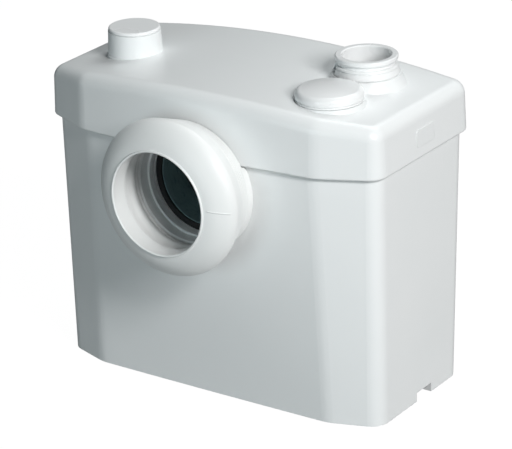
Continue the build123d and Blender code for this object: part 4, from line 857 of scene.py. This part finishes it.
@dataclass
class DischargePort(SubAssembly):
    """Riser, non-return valve, sleeve and clamp band."""

    lip_mm: float = 0.7
    groove_mm: float = 0.8

    def grommet(self) -> None:
        """Rubber grommet with a waist and rolled lips in place of a plain ring."""
        middle, size = centre_mm("riser_grommet")
        outer, half, soft = size.x / 2, size.z / 2, self.lip_mm
        inner = min(centre_mm("riser_pipe")[1].y / 2, outer - 2 * soft)
        profile = [
            (inner, -half + soft / 2), (inner + soft / 2, -half), (outer - soft, -half),
            (outer, -half + soft), (outer - self.groove_mm, 0), (outer, half - soft), (outer - soft, half),
            (inner + soft / 2, half), (inner, half - soft / 2), (inner, -half + soft / 2),
        ]
        piece = lathe(profile, tuple(middle))
        settle(piece, "riser_grommet_rolled", "riser_grommet", self.materials["nitrile"])

    def build(self) -> None:
        """Dresses the discharge side."""
        self.dress_all({
            "riser_pipe": "grey", "riser_grommet": "nitrile", "valve_body": "grey",
            "valve_seat_seal": "nitrile", "flap_pin": "ground", "valve_flap": "nitrile",
            "discharge_sleeve": "trim", "clamp_band": "trim", "clamp_screw": "zinc",
        })
        self.grommet()


@dataclass
class VentStack(SubAssembly):
    """Chimney cap and the charcoal filter below it."""

    edge_mm: float = 1.2
    dimple_mm: float = 0.6
    press_rings: tuple[float, ...] = (0.3, 0.36, 0.62, 0.66, 0.74, 0.78)

    def filter_disc(self) -> None:
        """Pressed disc with soft edges and shallow rings from the press."""
        middle, size = centre_mm("carbon_filter")
        outer, half = size.x / 2, size.z / 2
        soft, dip = self.edge_mm, self.dimple_mm
        side = [(outer - soft, half), (outer, half - soft), (outer, -half + soft), (outer - soft, -half)]
        levels = (half - dip, half, half, half - dip, half - dip, half)
        top = [(0, half - dip)] + [(outer * share, level) for share, level in zip(self.press_rings, levels)]
        low = [(radius, -height) for radius, height in reversed(top)]
        piece = lathe(top + side + low, tuple(middle))
        settle(piece, "charcoal_disc", "carbon_filter", self.materials["charcoal"])

    def build(self) -> None:
        """Dresses the vent and makes its filter."""
        self.dress_all({"vent_cap": "trim", "carbon_filter": "charcoal"})
        self.filter_disc()


@dataclass
class BlankedInlet(SubAssembly):
    """Blanking cap of the unused top inlet, with its rubber ring."""

    def build(self) -> None:
        """Dresses the cap and its ring."""
        self.dress_all({"blanking_cap": "trim", "blanking_seal": "nitrile"})


@dataclass
class MotorUnit(SubAssembly):
    """Motor pot with its wound stator, rotor, bearings and seal.

    In a bearing, ring_share is of the space between shaft and rim, shoulder_share of half the height,
    cage_level_share of a ball, and the other shares are of a ring's wall. In a winding, bore_share is of
    the core's radius, and bundle_share and lace_share are of the room for the bundle.
    """

    balls: int = 9
    gap_mm: float = 0.15
    ring_share: float = 0.26
    ball_inset_share: float = 0.72
    arris_share: float = 0.3
    groove_share: float = 0.2
    shoulder_share: float = 0.5
    cage_share: float = 0.3
    cage_level_share: float = 0.62
    coils: int = 12
    lace_mm: float = 0.45
    bore_share: float = 0.66
    bundle_share: float = 0.92
    lace_share: float = 0.93
    swell: float = 0.06

    def bearing(self, node: str) -> None:
        """Ball bearing with two rings, a row of balls and a cage of two flat hoops.

        Args:
            node: CAD node that the bearing replaces.
        """
        middle, size = centre_mm(node)
        outer, half = size.x / 2, size.z / 2
        inner = centre_mm("motor_shaft")[1].x / 2 + self.gap_mm
        wall = (outer - inner) * self.ring_share
        track = (outer + inner) / 2
        ball = (outer - inner) / 2 - wall * self.ball_inset_share
        soft = wall * self.arris_share
        shoulder = half * self.shoulder_share

        def ring(near: float, far: float) -> bpy.types.Object:
            """Draws one ring, hollowed on the side of the balls.

            Args:
                near: Radius of its plain side in millimetres.
                far: Radius of its side towards the balls.

            Returns:
                The ring's mesh object.
            """
            way = 1 if far > near else -1
            bow, step = wall * self.groove_share * way, soft * way
            profile = [
                (near, half - soft), (near, -half + soft), (near + step, -half), (far - step, -half),
                (far, -half + soft), (far, -shoulder), (far - bow, 0), (far, shoulder), (far, half - soft),
                (far - step, half), (near + step, half), (near, half - soft),
            ]
            return lathe(profile, tuple(middle))

        pieces = [ring(outer, outer - wall), ring(inner, inner + wall)]
        deselect()
        bpy.ops.mesh.primitive_uv_sphere_add(
            segments=24, ring_count=12, radius=ball * MM, location=(middle + Vector((track, 0, 0))) * MM
        )
        bpy.ops.object.transform_apply(location=True, rotation=True, scale=True)
        first = bpy.context.object
        pieces.append(first)
        for number in range(1, self.balls):
            pieces.append(turned_copy(first, number * math.tau / self.balls, middle))
        strip = wall * self.cage_share
        near, far = track - strip, track + strip
        for side in (-1, 1):
            low = side * ball * self.cage_level_share
            high = low + side * strip / 2
            cage = [(near, low), (far, low), (far, high), (near, high), (near, low)]
            pieces.append(lathe(cage, tuple(middle)))
        settle(joined(pieces), node + "_balls", node, self.materials["ground"])

    def windings(self) -> None:
        """Two winding heads, each a ring of overlapping coil ends laced with cord."""
        core = centre_mm("stator_core")[1]
        middle, size = centre_mm("stator_windings")
        outer = size.x / 2
        inner = core.x / 2 * self.bore_share
        track, fat = (outer + inner) / 2, (outer - inner) / 2
        tall = (size.z - core.z) / 2
        bundle = min(fat, tall / 2)
        pieces = []
        for side in (-1, 1):
            level = side * (core.z + tall) / 2
            deselect()
            bpy.ops.mesh.primitive_torus_add(
                major_segments=144, minor_segments=20, major_radius=track * MM,
                minor_radius=bundle * self.bundle_share * MM, location=(middle + Vector((0, 0, level))) * MM,
            )
            bpy.ops.object.transform_apply(location=True, rotation=True, scale=True)
            ring = bpy.context.object
            for vertex in ring.data.vertices:
                spot = vertex.co / MM - middle
                angle = math.atan2(spot.y, spot.x)
                swell = 1 + self.swell * abs(math.sin(angle * self.coils / 2))
                about = Vector((math.cos(angle) * track, math.sin(angle) * track, level))
                vertex.co = (middle + about + (spot - about) * swell) * MM
            pieces.append(ring)
            for number in range(self.coils):
                angle = number * math.tau / self.coils
                spot = Vector((math.cos(angle) * track, math.sin(angle) * track, level))
                deselect()
                bpy.ops.mesh.primitive_torus_add(
                    major_segments=24, minor_segments=6,
                    major_radius=bundle * self.lace_share * MM, minor_radius=self.lace_mm * MM,
                    rotation=(math.pi / 2, 0, angle), location=(middle + spot) * MM,
                )
                bpy.ops.object.transform_apply(location=True, rotation=True, scale=True)
                pieces.append(bpy.context.object)
        settle(joined(pieces), "laced_winding_heads", "stator_windings", self.materials["copper"])

    def build(self) -> None:
        """Dresses the motor and makes its windings and bearings."""
        self.dress_all({
            "motor_housing": "grey", "motor_end_cap": "black", "stator_core": "laminations",
            "stator_windings": "copper", "lower_bearing": "ground", "upper_bearing": "ground",
            "shaft_seal": "nitrile", "motor_shaft": "ground", "rotor_core": "laminations",
        })
        self.windings()
        for node in ("lower_bearing", "upper_bearing"):
            self.bearing(node)


@dataclass
class PumpUnit(SubAssembly):
    """Grinder basket, blade, impeller, volute and suction plate."""

    def build(self) -> None:
        """Dresses the wet end."""
        self.dress_all({
            # The basket's slate finish is painted shade, as in the inlet's throat.
            "grinder_basket": "wet", "grinder_blade": "stainless", "impeller": "grey", "impeller_nut": "zinc",
            "volute_casing": "black", "suction_plate": "black", "pump_screws": "zinc",
        })


@dataclass
class LevelSwitch(SubAssembly):
    """Pressure bell, diaphragm, plunger, lever and microswitch."""

    skin_mm: float = 0.6
    flat_share: float = 0.5
    wave_start_share: float = 0.56
    wave_share: float = 0.28
    wave_steps: int = 12
    rim_share: float = 0.88

    def membrane(self) -> None:
        """Thin membrane with a thick rim, a rolling wave and a flat middle."""
        middle, size = centre_mm("diaphragm")
        outer, half, skin = size.x / 2, size.z / 2, self.skin_mm / 2
        flat, rim = outer * self.flat_share, outer * self.rim_share
        wave = []
        for number in range(self.wave_steps + 1):
            radius = outer * (self.wave_start_share + self.wave_share * number / self.wave_steps)
            wave.append((radius, (half - skin) * math.sin(math.tau * number / self.wave_steps)))
        top = [(0, skin), (flat, skin)] + [(radius, height + skin) for radius, height in wave]
        edge = [(rim, half), (outer - skin, half), (outer, half - skin), (outer, skin - half),
                (outer - skin, -half), (rim, -half)]
        low = [(radius, height - skin) for radius, height in reversed(wave)] + [(flat, -skin), (0, -skin)]
        piece = lathe(top + edge + low, tuple(middle))
        settle(piece, "rolling_membrane", "diaphragm", self.materials["membrane"])

    def build(self) -> None:
        """Dresses the level switch and makes its membrane."""
        self.membrane()
        self.dress_all({
            "pressure_bell": "grey", "diaphragm": "membrane", "diaphragm_cover": "black",
            "switch_plunger": "trim", "switch_lever": "spring", "microswitch": "black",
        })


@dataclass
class TrayFittings(SubAssembly):
    """Capacitor, terminal block and cord gland.

    The can's profile is in widths of its bead: how far each point lies inside the can, and how far from
    its closed end or above its rolled edge.
    """

    bead_mm: float = 1.2
    closed_end: tuple[tuple[float, float], ...] = ((2, 0), (0.6, 0.6), (0, 2))
    rolled_edge: tuple[tuple[float, float], ...] = (
        (0, 6), (0.5, 5), (0.6, 4), (0, 2.6), (0, 1.2), (0.5, 0.2), (1.2, 0), (1.7, 0.5),
    )
    disc_inset: float = 1.8
    disc_rises: Triple = (1.0, 0.6, 0.4)
    tab_mm: Triple = (3.0, 0.8, 6.3)
    tab_arris_mm: float = 0.2
    tab_pitch_mm: float = 9.0
    ways: int = 4
    screw_mm: float = 1.9
    screw_height_share: float = 0.8
    screw_shank_share: float = 0.7
    screw_length_share: float = 0.4
    sunk_mm: float = 1.2

    def capacitor(self) -> None:
        """Drawn can with a rolled bead, a sunk end disc and two flat tabs."""
        middle, size = centre_mm("run_capacitor")
        radius, half, bead = size.z / 2, size.x / 2, self.bead_mm
        length, thickness, width = self.tab_mm
        disc = -half + length
        rim_rise, ring_rise, middle_rise = (bead * rise for rise in self.disc_rises)
        edge = disc - middle_rise
        closed = [(radius - inside * bead, half - below * bead) for inside, below in self.closed_end]
        rolled = [(radius - inside * bead, edge + above * bead) for inside, above in self.rolled_edge]
        sunk = [
            (radius - self.disc_inset * bead, disc + rim_rise), (radius / 2, disc + ring_rise),
            (0, disc + middle_rise),
        ]
        can = lathe([(0, half), *closed, *rolled, *sunk], tuple(middle), Axis.X)
        settle(can, "rolled_can", "run_capacitor", self.materials["aluminium"])
        tabs = []
        for side in (-1, 1):
            y = middle.y + side * self.tab_pitch_mm / 2
            low = (middle.x - half, y - thickness / 2, middle.z - width / 2)
            high = (middle.x + disc + 2 * bead, y + thickness / 2, middle.z + width / 2)
            tabs.append(block(low, high, bevel=self.tab_arris_mm))
        settle(joined(tabs), "capacitor_tabs", "run_capacitor", self.materials["zinc"], whole=False)

    def terminals(self) -> None:
        """Clamp screws sunk in the wells of the terminal block."""
        middle, size = centre_mm("terminal_block")
        pitch = size.x / self.ways
        seat = middle.z + size.z / 2 - self.sunk_mm - self.screw_mm
        height, shank = self.screw_mm * self.screw_height_share, self.screw_mm * self.screw_shank_share
        screws = []
        for number in range(self.ways):
            x = middle.x - size.x / 2 + (number + 0.5) * pitch
            length = size.z * self.screw_length_share
            screws.append(pan_screw(self.screw_mm, height, shank, length, (x, middle.y, seat)))
        settle(joined(screws), "terminal_screws", "terminal_block", self.materials["brass"], whole=False)

    def build(self) -> None:
        """Dresses the electrical fittings, and makes the capacitor and the clamp screws."""
        self.capacitor()
        self.terminals()
        self.dress_all({
            "run_capacitor": "aluminium", "capacitor_clip": "spring", "terminal_block": "cream",
            "cord_gland": "trim", "gland_nut": "trim",
        })


@dataclass(frozen=True)
class Lamp:
    """One round soft lamp that points at the object from a distance, with its diameter in metres.

    Its azimuth is 0 in front of the object and 90 degrees to the object's right.
    """

    name: str
    azimuth_deg: float
    elevation_deg: float
    distance_m: float
    size_m: float
    watts: float
    colour: str


@dataclass
class Studio:
    """Pale floor, soft lamps and the camera at the photograph's viewing angle.

    The camera's values were fitted to the case's straight edges in the photograph. The camera sees the
    floor mostly as a glow, so that it is white, and the rest of it as paper, which takes the shadow.
    """

    lamps: tuple[Lamp, ...] = (
        Lamp("key_softbox", 60, 35, 3.0, 0.7, 40.0, "FFFFFF"),
        Lamp("side_softbox", 70, 25, 3.0, 0.7, 37.0, "FFFFFF"),
        Lamp("front_softbox", 0, 10, 1.8, 0.8, 6.6, "DDEEF2"),
        Lamp("back_softbox", 180, 60, 1.5, 1.0, 10.0, "F6FAFB"),
    )
    photo_width: int = 512
    azimuth_deg: float = 35.3
    elevation_deg: float = 22.4
    roll_deg: float = -2.1
    distance_m: float = 2.3262
    aim_m: Triple = (0.0, 0.0, 0.13)
    slide_m: tuple[float, float] = (-0.0004, 0.0032)
    focal_px: float = 2740.3
    sensor_mm: float = 36.0
    sight_m: float = 20.0
    floor_m: float = 12.0
    floor_colour: str = "A0A0A0"
    floor_shown_share: float = 0.88
    floor_glow: float = 1.12
    room_colour: str = "DCEDF2"
    room_strength: float = 0.02

    def camera(self) -> None:
        """Places the camera and makes it the scene's own."""
        azimuth, elevation, roll = map(math.radians, (self.azimuth_deg, self.elevation_deg, self.roll_deg))
        look = Vector((
            -math.sin(azimuth) * math.cos(elevation),
            math.cos(azimuth) * math.cos(elevation),
            -math.sin(elevation),
        ))
        level = Vector((math.cos(azimuth), math.sin(azimuth), 0.0))
        above = level.cross(look)
        right = math.cos(roll) * level + math.sin(roll) * above
        up = math.cos(roll) * above - math.sin(roll) * level
        data = bpy.data.cameras.new("photo_camera")
        data.sensor_width = self.sensor_mm
        data.lens = self.focal_px * self.sensor_mm / self.photo_width
        data.clip_end = self.sight_m
        camera = bpy.data.objects.new("photo_camera", data)
        bpy.context.scene.collection.objects.link(camera)
        turn = Matrix((right, up, -look)).transposed().to_4x4()
        eye = Vector(self.aim_m) - look * self.distance_m - right * self.slide_m[0] - up * self.slide_m[1]
        camera.matrix_world = Matrix.Translation(eye) @ turn
        bpy.context.scene.camera = camera

    def light(self, lamp: Lamp) -> None:
        """Hangs one lamp and points it at the object.

        Args:
            lamp: Direction, distance, size, power and colour of the lamp.
        """
        azimuth, elevation = math.radians(lamp.azimuth_deg), math.radians(lamp.elevation_deg)
        place = Vector((
            math.sin(azimuth) * math.cos(elevation),
            -math.cos(azimuth) * math.cos(elevation),
            math.sin(elevation),
        )) * lamp.distance_m + Vector(self.aim_m)
        data = bpy.data.lights.new(lamp.name, "AREA")
        data.shape = "DISK"
        data.size = lamp.size_m
        data.energy = lamp.watts
        data.color = linear(lamp.colour)[:3]
        hung = bpy.data.objects.new(lamp.name, data)
        bpy.context.scene.collection.objects.link(hung)
        hung.location = place
        hung.rotation_mode = "QUATERNION"
        hung.rotation_quaternion = (Vector(self.aim_m) - place).to_track_quat("-Z", "Y")

    def room(self) -> None:
        """White air for the camera and for light through glass, dim for the light on the object."""
        world = bpy.data.worlds.new("studio_air")
        world.use_nodes = True
        tree = world.node_tree
        tree.nodes.clear()
        path = add_node(tree, "ShaderNodeLightPath")
        seen = add_node(
            tree, "ShaderNodeMath", {"operation": "ADD", "use_clamp": True},
            at0=path.outputs["Is Camera Ray"], at1=path.outputs["Is Transmission Ray"],
        )
        air = {"Color": linear(self.room_colour), "Strength": self.room_strength}
        dim = add_node(tree, "ShaderNodeBackground", air)
        white = add_node(tree, "ShaderNodeBackground", {"Color": WHITE, "Strength": 1.0})
        mix = add_node(
            tree, "ShaderNodeMixShader", None, at0=seen.outputs[0], at1=dim.outputs[0], at2=white.outputs[0]
        )
        add_node(tree, "ShaderNodeOutputWorld", None, Surface=mix.outputs[0])
        bpy.context.scene.world = world

    def floor(self) -> None:
        """White paper that keeps the object's shadow."""
        deselect()
        bpy.ops.mesh.primitive_plane_add(size=self.floor_m, location=(0, 0, 0))
        floor = bpy.context.object
        floor.name = "studio_floor"
        material = bpy.data.materials.new("white_paper_floor")
        material.use_nodes = True
        tree = material.node_tree
        tree.nodes.clear()
        path = add_node(tree, "ShaderNodeLightPath")
        glow = add_node(tree, "ShaderNodeEmission", {"Color": WHITE, "Strength": self.floor_glow})
        paper = add_node(tree, "ShaderNodeBsdfDiffuse", {"Color": linear(self.floor_colour)})
        share = add_node(
            tree, "ShaderNodeMath", {"operation": "MULTIPLY", 1: self.floor_shown_share},
            at0=path.outputs["Is Camera Ray"],
        )
        mix = add_node(
            tree, "ShaderNodeMixShader", None, at0=share.outputs[0], at1=paper.outputs[0], at2=glow.outputs[0]
        )
        add_node(tree, "ShaderNodeOutputMaterial", None, Surface=mix.outputs[0])
        floor.data.materials.append(material)

    def build(self) -> None:
        """Sets up the whole studio."""
        bpy.context.scene.view_settings.view_transform = "Standard"
        self.camera()
        self.room()
        self.floor()
        for lamp in self.lamps:
            self.light(lamp)


def main() -> None:
    """Builds the object's looks and the studio."""
    logging.basicConfig(level=logging.INFO, format="%(message)s")
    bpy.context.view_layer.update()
    Studio().build()
    materials = palette()
    for group in (
        OuterCase, InletCollar, DischargePort, VentStack, BlankedInlet, MotorUnit, PumpUnit, LevelSwitch,
        TrayFittings,
    ):
        group(materials).build()
        LOG.info("finished %s", group.__name__)


if __name__ == "__main__":
    main()
